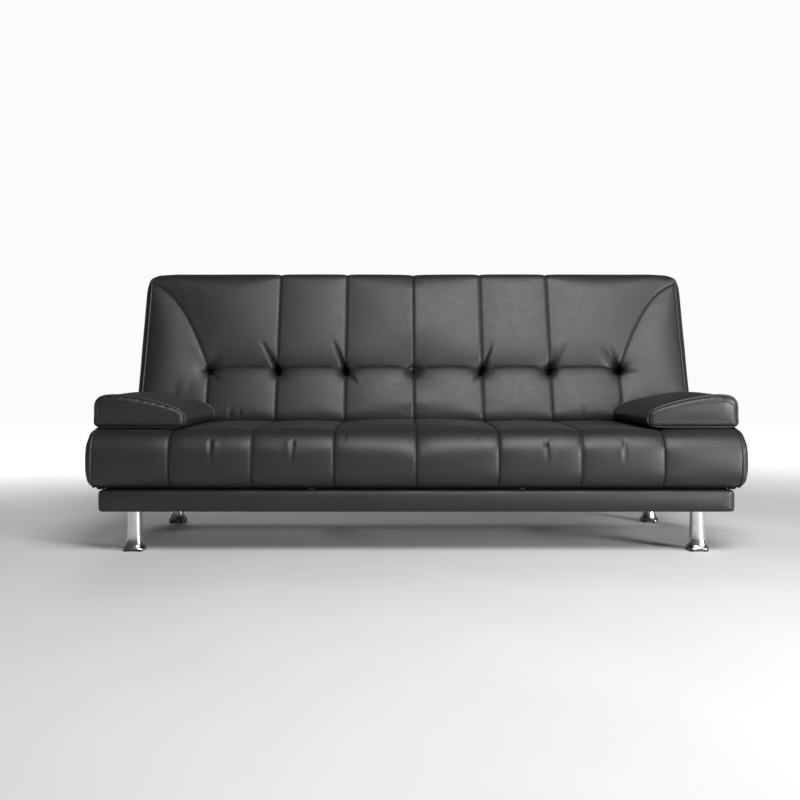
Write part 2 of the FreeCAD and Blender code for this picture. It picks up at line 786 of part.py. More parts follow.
def back_frame():
    """Welded back frame with its springs, in the back's own leaning frame."""
    inner = "back_frame_top - back_frame_start - 2 * tube_size"
    uprights = {"side": [], "cross": []}
    for side, sign in SIDES:
        for part, near in (("side", "frame_inner_half"), ("cross", "cross_tube_place - tube_size / 2")):
            upright = tube(
                f"back_{part}_{side}",
                "back",
                "Z",
                "back_frame_start + tube_size",
                inner,
                start_of(sign, near, "tube_size"),
                "back_tube_front",
            )
            uprights[part].append(upright)
    for part, tubes in uprights.items():
        publish(group(f"back_{part}_tubes_group", tubes), f"back_{part}_tubes")
    for place, up in (("lower", "back_frame_start"), ("top", "back_frame_top - tube_size")):
        bar = tube(f"back_{place}_bar", "back", "X", "-frame_half", "2 * frame_half", "back_tube_front", up)
        publish(bar, f"back_{place}_tube")
    clip = value("clip_depth")
    gap = value("back_frame_top - back_frame_start - 2 * tube_size") - 2 * clip
    spot = frame_placement(
        "back", "0", "back_tube_front + 0.36 * tube_size", "back_frame_start + tube_size", 90
    )
    spring_bank("back_springs", "back_spring_clips", gap, spot)


def back_pad():
    """Foam back with its cover, hollow behind for the frame, and the panel that closes it."""
    corners = rectangle("back_front", "end_gap", "back_thickness", "back_length - end_gap")
    blank = extruded(
        "back_pad_blank",
        "back",
        "YZ",
        "-half_width",
        "seat_width",
        corners,
        fillets=[
            (0, "meeting_radius"),
            (1, "meeting_radius / 2"),
            (2, "back_edge_radius"),
            (3, "back_edge_radius"),
        ],
    )
    low = "back_frame_start - cavity_clearance"
    tall = "back_frame_top - back_frame_start + 2 * cavity_clearance"
    thick = "cover_thickness + tube_size + cavity_clearance"
    tools = [
        box(
            "back_cavity",
            "back",
            "-cavity_half",
            f"back_rear - ({thick})",
            low,
            "2 * cavity_half",
            thick,
            tall,
        )
    ]
    for side, sign in SIDES:
        tools.append(
            notch(
                f"back_notch_{side}",
                "back",
                sign,
                "back_front",
                "0",
                "back_thickness - cover_thickness",
                "back_frame_start + tube_size + cavity_clearance",
            )
        )
    publish(cut("back_pad_cut", blank, tools), "back_pad")
    panel = box(
        "back_rear_sheet",
        "back",
        "-cavity_half",
        "back_rear - cover_thickness",
        low,
        "2 * cavity_half",
        "cover_thickness",
        tall,
    )
    publish(panel, "back_rear_panel")


def hinges():
    """Click-clack hinge of each side: plates, toothed quadrant, bolt, nut, washer, pawl and its pin."""
    shared = {"ratchets": [], "pivot_bolts": [], "pivot_nuts": [], "pivot_washers": [], "pawl_pins": []}
    for side, sign in SIDES:
        seat_plate = extruded(
            f"seat_plate_{side}_blank",
            "ground",
            "YZ",
            start_of(sign, "plate_place", "plate_thickness"),
            "plate_thickness",
            [
                ("frame_rear", "frame_bottom"),
                ("frame_rear + tube_size", "frame_bottom"),
                ("pivot_depth + seat_plate_radius", "pivot_z - seat_plate_radius"),
                ("pivot_depth + seat_plate_radius", "pivot_z + seat_plate_radius"),
                ("pivot_depth - seat_plate_radius", "pivot_z + seat_plate_radius"),
                ("frame_rear", "pivot_z - pawl_drop"),
            ],
            holes=[
                ("pivot_depth", "pivot_z", "bolt_radius"),
                ("pawl_depth", "pawl_z", "pawl_pin_diameter / 2"),
            ],
            fillets=[(3, "seat_plate_radius - 0.1"), (4, "seat_plate_radius - 0.1")],
        )
        publish(seat_plate, f"seat_hinge_plate_{side}")
        back_plate = extruded(
            f"back_plate_{side}_blank",
            "back",
            "YZ",
            start_of(sign, "back_plate_place", "plate_thickness"),
            "plate_thickness",
            [
                ("-back_plate_radius", "back_plate_radius"),
                ("-back_plate_radius", "-back_plate_radius"),
                ("back_plate_radius", "-back_plate_radius"),
                ("back_tube_front", "back_frame_start"),
                ("back_tube_front", "back_frame_start + tube_size"),
                ("back_plate_radius", "back_frame_start + tube_size"),
            ],
            holes=[("0", "0", "pivot_bore")],
            fillets=[(0, "back_plate_radius - 0.1"), (1, "back_plate_radius - 0.1"), (2, "back_plate_radius / 2")],
        )
        publish(back_plate, f"back_hinge_plate_{side}")
        shared["ratchets"].append(ratchet(side, sign))
        bolt_span = "3 * plate_thickness + washer_thickness + body_clearance"
        shank = cross_bar(
            f"pivot_shank_{side}",
            "ground",
            start_of(sign, "plate_place - bolt_head_height", f"bolt_head_height + {bolt_span}"),
            "pivot_depth",
            "pivot_z",
            "bolt_radius",
            f"bolt_head_height + {bolt_span}",
        )
        head = cross_bar(
            f"pivot_head_{side}",
            "ground",
            start_of(sign, f"plate_place + {bolt_span}", "bolt_head_height"),
            "pivot_depth",
            "pivot_z",
            "bolt_head_diameter / 2",
            "bolt_head_height",
        )
        shared["pivot_bolts"].append(fuse(f"pivot_bolt_{side}", [shank, head]))
        shared["pivot_nuts"].append(pivot_nut(side, sign))
        washer_place = start_of(
            sign, "plate_place + plate_thickness", "washer_thickness - body_clearance"
        )
        washer_blank = cross_bar(
            f"washer_{side}_blank",
            "ground",
            washer_place,
            "pivot_depth",
            "pivot_z",
            "bolt_head_diameter / 2",
            "washer_thickness - body_clearance",
        )
        shared["pivot_washers"].append(cut(f"washer_{side}", washer_blank, [shank]))
        pawl_thickness = "plate_thickness - 2 * body_clearance"
        pawl_near = "ratchet_place + body_clearance"
        pawl = document.addObject("PartDesign::Body", f"pawl_{side}_lever")
        placed(
            pawl,
            "ground",
            start_of(sign, pawl_near, pawl_thickness),
            "pawl_depth",
            "pawl_z",
            "1; 0; 0",
            "-pawl_angle",
        )
        sketch = new_sketch(pawl, f"pawl_{side}_profile", "YZ")
        draw_polygon(
            sketch,
            [
                ("-pawl_width", "-pawl_width"),
                ("pawl_width", "-pawl_width"),
                ("pawl_width", "pawl_width / 2"),
                ("tooth_width / 2", "pawl_reach"),
                ("-tooth_width / 2", "pawl_reach"),
                ("-pawl_width", "pawl_width / 2"),
            ],
        )
        draw_circle(sketch, "0", "0", "pawl_pin_diameter / 2 + running_clearance")
        pad = pawl.newObject("PartDesign::Pad", f"pawl_{side}_pad")
        pad.Profile = sketch
        pad.setExpression("Length", ref(pawl_thickness))
        document.recompute()
        publish(pawl, f"pawl_{side}")
        pin = cross_bar(
            f"pawl_pin_{side}_bar",
            "ground",
            start_of(sign, "plate_place", "3 * plate_thickness"),
            "pawl_depth",
            "pawl_z",
            "pawl_pin_diameter / 2",
            "3 * plate_thickness",
        )
        shared["pawl_pins"].append(pin)
    for label, pieces in shared.items():
        publish(group(label + "_group", pieces), label)


def pivot_nut(side, sign):
    """Nut of the hinge bolt, against the inner face of the seat's plate."""
    radius = "bolt_head_diameter / 2"
    corners = []
    for index in range(6):
        corners.append(
            (f"pivot_depth + {radius} * cos({60 * index}deg)", f"pivot_z + {radius} * sin({60 * index}deg)")
        )
    start = start_of(sign, "plate_place - bolt_head_height", "bolt_head_height")
    return extruded(
        f"pivot_nut_{side}_hexagon",
        "ground",
        "YZ",
        start,
        "bolt_head_height",
        corners,
        holes=[("pivot_depth", "pivot_z", "bolt_radius")],
    )


def ratchet(side, sign):
    """Toothed quadrant on the back's plate, one gap for each click between upright and flat."""
    body = document.addObject("PartDesign::Body", f"ratchet_{side}_disc")
    placed(body, "back", start_of(sign, "ratchet_place", "plate_thickness"))
    sketch = new_sketch(body, f"ratchet_{side}_profile", "YZ")
    draw_circle(sketch, "0", "0", "ratchet_radius")
    draw_circle(sketch, "0", "0", "pivot_bore")
    pad = body.newObject("PartDesign::Pad", f"ratchet_{side}_pad")
    pad.Profile = sketch
    pad.setExpression("Length", ref("plate_thickness"))
    document.recompute()
    gap = new_sketch(body, f"ratchet_{side}_gap", "YZ")
    draw_polygon(
        gap,
        [
            ("-tooth_width / 2", "-ratchet_radius - 1"),
            ("tooth_width / 2", "-ratchet_radius - 1"),
            ("tooth_width / 4", "-ratchet_radius + tooth_depth"),
            ("-tooth_width / 4", "-ratchet_radius + tooth_depth"),
        ],
    )
    pocket = body.newObject("PartDesign::Pocket", f"ratchet_{side}_pocket")
    pocket.Profile = gap
    pocket.Type = "ThroughAll"
    pocket.Midplane = True
    document.recompute()
    pattern = body.newObject("PartDesign::PolarPattern", f"ratchet_{side}_teeth")
    pattern.Originals = [pocket]
    pattern.Axis = (sketch, ["N_Axis"])
    pattern.setExpression("Angle", ref("90 - back_lean"))
    pattern.setExpression("Occurrences", ref("tooth_steps + 1"))
    document.recompute()
    body.Tip = pattern
    return body


def lift_brackets(boards):
    """Brackets that carry the tipping pins, their bolts, and the end boards drilled for them."""
    bolts = []
    brackets = []
    for side, sign in SIDES:
        gap = "body_clearance"
        near = f"frame_inner_half - {gap} - bracket_thickness"
        cheek = extruded(
            f"lift_cheek_{side}",
            "ground",
            "YZ",
            start_of(sign, near, "bracket_thickness"),
            "bracket_thickness",
            [
                ("lift_depth - bracket_length / 2", "bracket_foot"),
                ("lift_depth + bracket_radius", "bracket_foot"),
                ("lift_depth + bracket_radius", "lift_z + bracket_radius"),
                ("lift_depth - bracket_radius", "lift_z + bracket_radius"),
                ("lift_depth - bracket_length / 2", "board_bottom + board_height"),
            ],
            holes=[("lift_depth", "lift_z", "lift_pin_diameter / 2 + running_clearance")],
            fillets=[(2, "bracket_radius - 0.1"), (3, "bracket_radius - 0.1")],
        )
        spacer_near = f"frame_inner_half - {gap}"
        spacer_width = f"board_inner_half - frame_inner_half + {gap}"
        spacer = box(
            f"lift_spacer_{side}",
            "ground",
            start_of(sign, spacer_near, spacer_width),
            "lift_depth - bracket_length / 2",
            "bracket_foot",
            spacer_width,
            "bracket_length / 2 + bracket_radius",
            "bracket_rise",
        )
        solid = fuse(f"lift_bracket_{side}_solid", [cheek, spacer])
        side_bolts = []
        for place, back in (("near", "0.3 * bracket_length"), ("far", "0")):
            shank_length = f"bracket_thickness + {spacer_width} + 0.8 * board_thickness"
            depth = f"lift_depth - {back}"
            height = "bracket_foot + bracket_rise / 2"
            shank = cross_bar(
                f"bracket_shank_{side}_{place}",
                "ground",
                start_of(sign, near, shank_length),
                depth,
                height,
                "bracket_bolt_diameter / 2",
                shank_length,
            )
            head = cross_bar(
                f"bracket_head_{side}_{place}",
                "ground",
                start_of(sign, f"{near} - bracket_bolt_diameter / 2", "bracket_bolt_diameter / 2"),
                depth,
                height,
                "bracket_bolt_head / 2",
                "bracket_bolt_diameter / 2",
            )
            side_bolts.append(fuse(f"bracket_bolt_{side}_{place}", [shank, head]))
        brackets.append(cut(f"lift_bracket_{side}_drilled", solid, side_bolts))
        publish(cut(f"{side}_rail_board_drilled", boards[side], side_bolts), f"{side}_rail_board")
        bolts += side_bolts
    publish(group("lift_brackets_group", brackets), "lift_brackets")
    publish(group("lift_bracket_bolts_group", bolts), "lift_bracket_bolts")


def bumpers():
    """Rubber bumpers on the front rail, just under the seat."""
    pieces = []
    for index in range(4):
        x = f"(({index} - 1.5) * 2 * cross_bar_place)"
        pieces.append(
            cylinder(
                f"bumper_{index}",
                "ground",
                x,
                "board_front + bumper_diameter / 2",
                "rail_top",
                "bumper_diameter / 2",
                "seat_underside - rail_top - body_clearance",
            )
        )
    publish(group("seat_bumpers_group", pieces), "seat_bumpers")


def arms():
    """Wedge arm pads with their boards and the pegs that drop into the seat's sockets."""
    for side, sign in SIDES:
        corners = [
            (f"{sign} * arm_inner", "arm_bottom"),
            (f"{sign} * arm_outer", "arm_bottom"),
            (f"{sign} * arm_outer", "arm_bottom + arm_height"),
            (f"{sign} * (arm_outer - arm_shoulder)", "arm_bottom + arm_height"),
            (f"{sign} * arm_inner", "arm_bottom + arm_nose_height"),
        ]
        blank = extruded(
            f"arm_pad_{side}_blank",
            "ground",
            "XZ",
            "arm_front_inset",
            "arm_length",
            corners,
            fillets=[
                (0, "arm_nose_radius"),
                (4, "arm_nose_radius"),
                (2, "arm_top_radius"),
                (1, "arm_nose_radius / 2"),
            ],
        )
        width = "arm_width - 2 * arm_board_inset"
        start = start_of(sign, "arm_inner + arm_board_inset", width)
        board = box(
            f"arm_board_{side}_blank",
            "ground",
            start,
            "arm_front_inset + arm_board_inset",
            "arm_bottom",
            width,
            "arm_length - 2 * arm_board_inset",
            "arm_board_thickness",
        )
        publish(cut(f"arm_pad_{side}_cut", blank, [board]), f"arm_pad_{side}")
        pegs = []
        for place, inset in (("front", "peg_front_inset"), ("rear", "peg_front_inset + peg_spacing")):
            pegs.append(
                cylinder(
                    f"arm_peg_{side}_{place}",
                    "ground",
                    f"{sign} * peg_place",
                    f"arm_front_inset + {inset}",
                    "arm_bottom - peg_length",
                    "peg_radius",
                    "peg_length + arm_board_thickness",
                )
            )
        publish(cut(f"arm_board_{side}_drilled", board, pegs), f"arm_board_{side}")
        publish(group(f"arm_pegs_{side}_group", pegs), f"arm_pegs_{side}")


def write_parts():
    """Check every object of the document, then write each finished sub-part to its own file."""
    document.recompute()
    for item in document.Objects:
        if "Invalid" in item.State or "Error" in item.State:
            raise RuntimeError(f"{item.Label} failed: {item.State}")
    os.makedirs(FOLDER, exist_ok=True)
    for item in finished:
        shape = item.Shape
        if shape.isNull() or not shape.isValid() or not shape.Solids:
            raise RuntimeError(f"{item.Label} has no valid solid")
        if len(item.Label) >= MAX_NAME:
            raise RuntimeError(f"{item.Label} is too long a name")
        shape.exportStep(os.path.join(FOLDER, item.Label + ".step"))
        print(f"{item.Label}: {len(shape.Solids)} solid(s), {shape.Volume / 1000:.1f} cm3")


fill_sizes()
rail_boards = base_rails()
legs()
lift_brackets(rail_boards)
bumpers()
seat_frame()
seat_pad()
back_frame()
back_pad()
hinges()
arms()
write_parts()
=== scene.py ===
"""Looks of a click-clack futon sofa bed: tufted faux-leather pads, wedge arms and chrome legs.

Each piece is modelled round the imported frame, in metres, and rides on one of its bodies.
"""

import json
import logging
import math
from dataclasses import dataclass, field
from enum import Enum

import bpy
import numpy as np
from mathutils import Matrix, Vector
from mathutils.bvhtree import BVHTree


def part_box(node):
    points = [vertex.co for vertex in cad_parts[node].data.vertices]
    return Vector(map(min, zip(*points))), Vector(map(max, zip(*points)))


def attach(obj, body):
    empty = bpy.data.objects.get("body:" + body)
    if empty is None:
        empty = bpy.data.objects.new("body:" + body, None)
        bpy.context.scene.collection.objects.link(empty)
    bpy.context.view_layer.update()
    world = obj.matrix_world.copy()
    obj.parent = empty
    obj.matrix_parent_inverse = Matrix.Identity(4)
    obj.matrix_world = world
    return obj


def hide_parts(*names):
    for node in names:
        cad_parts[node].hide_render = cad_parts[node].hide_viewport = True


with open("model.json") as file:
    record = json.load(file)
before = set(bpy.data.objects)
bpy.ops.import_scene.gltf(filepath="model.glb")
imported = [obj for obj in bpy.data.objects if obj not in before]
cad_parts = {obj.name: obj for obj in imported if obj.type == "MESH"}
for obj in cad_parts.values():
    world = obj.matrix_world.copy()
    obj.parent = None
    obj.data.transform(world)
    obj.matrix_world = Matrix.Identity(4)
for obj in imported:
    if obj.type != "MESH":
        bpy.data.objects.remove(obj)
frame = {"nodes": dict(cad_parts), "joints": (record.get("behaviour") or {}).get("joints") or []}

LOG = logging.getLogger("futon")
MM = 0.001
SIDES = (("left", -1), ("right", 1))
Array = np.ndarray

# A sewn seam on a pad: depth and half width of the groove, and half width and strength of its dark line,
# which is partly the seam's own colour and partly painted shade in the groove.
SEAM_DEPTH = 0.0026
SEAM_GROOVE = 0.0038
SEAM_LINE = 0.0024
SEAM_SHADE = 0.75


# ---------------------------------------------------------------- frame facts


@dataclass(frozen=True)
class Layout:
    """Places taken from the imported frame, in metres.

    Attributes:
        front: Y of the seat's front.
        pivot: A point on the axis that the back folds about.
        lean: Lean of the back from the vertical at rest, in radians.
        half_width: Half the sofa's length.
        channel_pitch: Distance between two sewn channels or two tufts.
    """

    front: float
    pivot: Vector
    lean: float
    half_width: float
    channel_pitch: float

    @property
    def back_matrix(self) -> Matrix:
        """The back's own frame: its origin on the hinge axis, +Z up along the pad, +Y to the rear."""
        return Matrix.Translation(self.pivot) @ Matrix.Rotation(-self.lean, 4, "X")


def read_layout() -> Layout:
    """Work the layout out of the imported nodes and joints.

    Returns:
        The places that the pieces are built from.
    """
    low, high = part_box("seat_pad")
    recline = next(joint for joint in frame["joints"] if joint["name"] == "back_recline")
    upright_turn = recline["range_deg"][1]
    return Layout(
        front=low.y,
        pivot=Vector(recline["pos_m"]),
        lean=math.radians(90 - upright_turn),
        half_width=high.x,
        channel_pitch=(high.x - low.x) / 8,
    )


# ---------------------------------------------------------------- materials


class Coat(Enum):
    """Names of the finishes that CAD nodes are given."""

    POWDER_COAT = "satin_black_powder_coat"
    ZINC_PLATE = "bright_zinc_plated_steel"
    SPRING_WIRE = "drawn_spring_wire"
    CLIP = "moulded_nylon_clip"
    PINE = "planed_pine"
    PLYWOOD = "sanded_birch_plywood"
    DUST_CLOTH = "spunbond_dust_cloth"
    RUBBER = "moulded_black_rubber"


def linear(hex_colour: str) -> tuple[float, float, float, float]:
    """Turn an sRGB hex colour into a linear one.

    Args:
        hex_colour: Six hex digits, with or without a hash.

    Returns:
        Linear red, green, blue and an alpha of 1.
    """
    digits = hex_colour.lstrip("#")
    channels = [int(digits[i : i + 2], 16) / 255 for i in (0, 2, 4)]
    bright = [c / 12.92 if c <= 0.04045 else ((c + 0.055) / 1.055) ** 2.4 for c in channels]
    return (bright[0], bright[1], bright[2], 1.0)


def add_node(
    tree: bpy.types.NodeTree, kind: str, settings: dict | None = None, inputs: dict | None = None
) -> bpy.types.Node:
    """Add a node with its settings, values and links.

    Args:
        tree: The node tree that gets the node.
        kind: Type name of the node.
        settings: Attributes to set on the node.
        inputs: Input name or number to a value, or to the output socket that feeds it.

    Returns:
        The new node.
    """
    node = tree.nodes.new(kind)
    for name, setting in (settings or {}).items():
        setattr(node, name, setting)
    for key, given in (inputs or {}).items():
        if isinstance(given, bpy.types.NodeSocket):
            tree.links.new(given, node.inputs[key])
        else:
            node.inputs[key].default_value = given
    return node


def ramp_node(
    tree: bpy.types.NodeTree, factor: bpy.types.NodeSocket, stops: list[tuple[float, str]]
) -> bpy.types.Node:
    """Add a colour ramp.

    Args:
        tree: The node tree.
        factor: The socket that drives the ramp.
        stops: Position and hex colour of each stop.

    Returns:
        The ramp node.
    """
    node = add_node(tree, "ShaderNodeValToRGB", inputs={"Fac": factor})
    elements = node.color_ramp.elements
    while len(elements) < len(stops):
        elements.new(0.5)
    for element, (place, colour) in zip(elements, stops):
        element.position = place
        element.color = linear(colour)
    return node


def new_material(
    name: str,
) -> tuple[bpy.types.Material, bpy.types.NodeTree, bpy.types.Node, bpy.types.NodeSocket]:
    """Make an empty node material.

    Args:
        name: Name of the finish.

    Returns:
        The material, its tree, its surface shader and the Object coordinates.
    """
    material = bpy.data.materials.new(name)
    material.use_nodes = True
    tree = material.node_tree
    tree.nodes.clear()
    shader = add_node(tree, "ShaderNodeBsdfPrincipled")
    add_node(tree, "ShaderNodeOutputMaterial", inputs={"Surface": shader.outputs["BSDF"]})
    place = add_node(tree, "ShaderNodeTexCoord")
    return material, tree, shader, place.outputs["Object"]


@dataclass(frozen=True)
class FauxLeather:
    """Embossed PU-coated cloth: a fine pebble grain under a soft satin coat, darker in its seams, partly
    the seams' own colour and partly painted shade, and with painted shade in its creases and tuft pits.

    The grain breaks the highlights up into a soft glow, and the roughness wanders a little over the
    surface.

    Attributes:
        name: Name of the finish.
        colour: Coat colour.
        grain_mm: Size of a pebble; 2.4 mm is about twice the real one, so that it shows.
        roughness: Roughness of the coat.
        bump: Strength of the grain.
    """

    name: str
    colour: str = "#191719"
    grain_mm: float = 2.4
    roughness: float = 0.47
    bump: float = 0.22

    def build(self) -> bpy.types.Material:
        """Build the material."""
        material, tree, shader, place = new_material(self.name)
        per_metre = 1 / (self.grain_mm * MM)
        pebbles = add_node(
            tree,
            "ShaderNodeTexVoronoi",
            {"feature": "SMOOTH_F1"},
            {"Vector": place, "Scale": per_metre, "Smoothness": 0.6, "Randomness": 0.9},
        )
        pores = add_node(
            tree, "ShaderNodeTexNoise", inputs={"Vector": place, "Scale": per_metre * 1.9, "Detail": 3.0}
        )
        hide = add_node(tree, "ShaderNodeTexNoise", inputs={"Vector": place, "Scale": 9.0, "Detail": 4.0})
        creases = add_node(
            tree,
            "ShaderNodeTexNoise",
            inputs={"Vector": place, "Scale": 42.0, "Detail": 5.0, "Distortion": 1.2},
        )
        # Painted shade: the stored seam value darkens the colour and cuts the gloss in seam grooves, pleat
        # creases, tuft pits, the crease under the seat and on the rail's top.
        seam = add_node(tree, "ShaderNodeAttribute", {"attribute_name": "seam"})
        patches = [(0.3, self.colour), (0.72, lighter(self.colour, 1.10))]
        dark = ramp_node(tree, hide.outputs["Fac"], patches)
        worn = ramp_node(tree, creases.outputs["Fac"], [(0.35, "#d9d9d9"), (0.65, "#ffffff")])
        tinted = add_node(
            tree,
            "ShaderNodeMix",
            {"data_type": "RGBA", "blend_type": "MULTIPLY"},
            {"Factor": 0.35, 6: dark.outputs["Color"], 7: worn.outputs["Color"]},
        )
        # Painted shade, partly the seams' own dark colour: the colour mixes towards a much darker copy by
        # the stored seam value.
        shaded = add_node(
            tree,
            "ShaderNodeMix",
            {"data_type": "RGBA"},
            {"Factor": seam.outputs["Fac"], 6: tinted.outputs[2], 7: linear(lighter(self.colour, 0.28))},
        )
        tree.links.new(shaded.outputs[2], shader.inputs["Base Color"])
        rough = add_node(
            tree,
            "ShaderNodeMapRange",
            inputs={
                "Value": creases.outputs["Fac"],
                "To Min": self.roughness - 0.05,
                "To Max": self.roughness + 0.08,
            },
        )
        dulled = add_node(
            tree,
            "ShaderNodeMath",
            {"operation": "MULTIPLY_ADD"},
            {0: seam.outputs["Fac"], 1: 0.35, 2: rough.outputs["Result"]},
        )
        tree.links.new(dulled.outputs["Value"], shader.inputs["Roughness"])
        # Painted shade: the specular level falls almost to nothing by the same value, so no highlight shows
        # there.
        gloss = add_node(
            tree, "ShaderNodeMapRange", inputs={"Value": seam.outputs["Fac"], "To Min": 0.5, "To Max": 0.03}
        )
        tree.links.new(gloss.outputs["Result"], shader.inputs["Specular IOR Level"])
        height = add_node(
            tree,
            "ShaderNodeMath",
            {"operation": "MULTIPLY_ADD"},
            {0: pores.outputs["Fac"], 1: 0.35, 2: pebbles.outputs["Distance"]},
        )
        grain = add_node(
            tree,
            "ShaderNodeBump",
            inputs={"Strength": self.bump, "Distance": 0.35 * MM, "Height": height.outputs["Value"]},
        )
        soft = add_node(
            tree,
            "ShaderNodeBump",
            inputs={
                "Strength": 0.25,
                "Distance": 1.2 * MM,
                "Height": creases.outputs["Fac"],
                "Normal": grain.outputs["Normal"],
            },
        )
        tree.links.new(soft.outputs["Normal"], shader.inputs["Normal"])
        shader.inputs["IOR"].default_value = 1.5
        shader.inputs["Specular Tint"].default_value = linear("#fffcfd")
        shader.inputs["Sheen Weight"].default_value = 0.02
        shader.inputs["Sheen Roughness"].default_value = 0.5
        return material


def lighter(hex_colour: str, factor: float) -> str:
    """Scale an sRGB hex colour's digits.

    Args:
        hex_colour: Six hex digits with a hash.
        factor: What each channel is multiplied by.

    Returns:
        The scaled hex colour.
    """
    digits = hex_colour.lstrip("#")
    channels = [min(255, round(int(digits[i : i + 2], 16) * factor)) for i in (0, 2, 4)]
    return "#" + "".join(f"{channel:02x}" for channel in channels)


@dataclass(frozen=True)
class Metal:
    """Bare or plated metal whose roughness wanders a little, as handling and plating leave it.

    Attributes:
        name: Name of the finish.
        colour: Reflection colour.
        second: Colour of the patches.
        roughness: Middle roughness.
        spread: How far the roughness wanders.
        patch_mm: Size of the patches.
        stretch: How far the pattern is drawn out along X, as drawn wire or a brushed face is.
        bump: Strength of the surface's relief.
    """

    name: str
    colour: str
    second: str
    roughness: float
    spread: float
    patch_mm: float
    stretch: float = 1.0
    bump: float = 0.04

    def build(self) -> bpy.types.Material:
        """Build the material."""
        material, tree, shader, place = new_material(self.name)
        drawn = add_node(
            tree, "ShaderNodeMapping", inputs={"Vector": place, "Scale": (1 / self.stretch, 1.0, 1.0)}
        )
        patches = add_node(
            tree,
            "ShaderNodeTexNoise",
            inputs={"Vector": drawn.outputs["Vector"], "Scale": 1 / (self.patch_mm * MM), "Detail": 6.0},
        )
        fine = add_node(
            tree,
            "ShaderNodeTexNoise",
            inputs={"Vector": drawn.outputs["Vector"], "Scale": 8 / (self.patch_mm * MM), "Detail": 3.0},
        )
        tone = ramp_node(tree, patches.outputs["Fac"], [(0.35, self.colour), (0.68, self.second)])
        tree.links.new(tone.outputs["Color"], shader.inputs["Base Color"])
        rough = add_node(
            tree,
            "ShaderNodeMapRange",
            inputs={
                "Value": patches.outputs["Fac"],
                "From Min": 0.3,
                "From Max": 0.7,
                "To Min": self.roughness - self.spread,
                "To Max": self.roughness + self.spread,
            },
        )
        tree.links.new(rough.outputs["Result"], shader.inputs["Roughness"])
        relief = add_node(
            tree,
            "ShaderNodeBump",
            inputs={"Strength": self.bump, "Distance": 0.2 * MM, "Height": fine.outputs["Fac"]},
        )
        tree.links.new(relief.outputs["Normal"], shader.inputs["Normal"])
        shader.inputs["Metallic"].default_value = 1.0
        return material


@dataclass(frozen=True)
class Moulded:
    """Matt or satin non-metal: rubber, nylon, powder coat or spunbond cloth.

    Attributes:
        name: Name of the finish.
        colour: Main colour.
        second: Colour of the mottling.
        roughness: Roughness.
        pattern_mm: Size of the surface texture: orange peel, spark erosion or bonded fibres.
        bump: Strength of that texture.
        depth_mm: Depth of that texture.
    """

    name: str
    colour: str
    second: str
    roughness: float
    pattern_mm: float
    bump: float
    depth_mm: float = 0.2

    def build(self) -> bpy.types.Material:
        """Build the material."""
        material, tree, shader, place = new_material(self.name)
        cells = add_node(
            tree,
            "ShaderNodeTexVoronoi",
            {"feature": "SMOOTH_F1"},
            {"Vector": place, "Scale": 1 / (self.pattern_mm * MM), "Smoothness": 0.8},
        )
        dust = add_node(tree, "ShaderNodeTexNoise", inputs={"Vector": place, "Scale": 30.0, "Detail": 6.0})
        tone = ramp_node(tree, dust.outputs["Fac"], [(0.35, self.colour), (0.75, self.second)])
        tree.links.new(tone.outputs["Color"], shader.inputs["Base Color"])
        rough = add_node(
            tree,
            "ShaderNodeMapRange",
            inputs={
                "Value": dust.outputs["Fac"],
                "To Min": self.roughness - 0.08,
                "To Max": min(1.0, self.roughness + 0.08),
            },
        )
        tree.links.new(rough.outputs["Result"], shader.inputs["Roughness"])
        relief = add_node(
            tree,
            "ShaderNodeBump",
            inputs={
                "Strength": self.bump,
                "Distance": self.depth_mm * MM,
                "Height": cells.outputs["Distance"],
            },
        )
        tree.links.new(relief.outputs["Normal"], shader.inputs["Normal"])
        return material


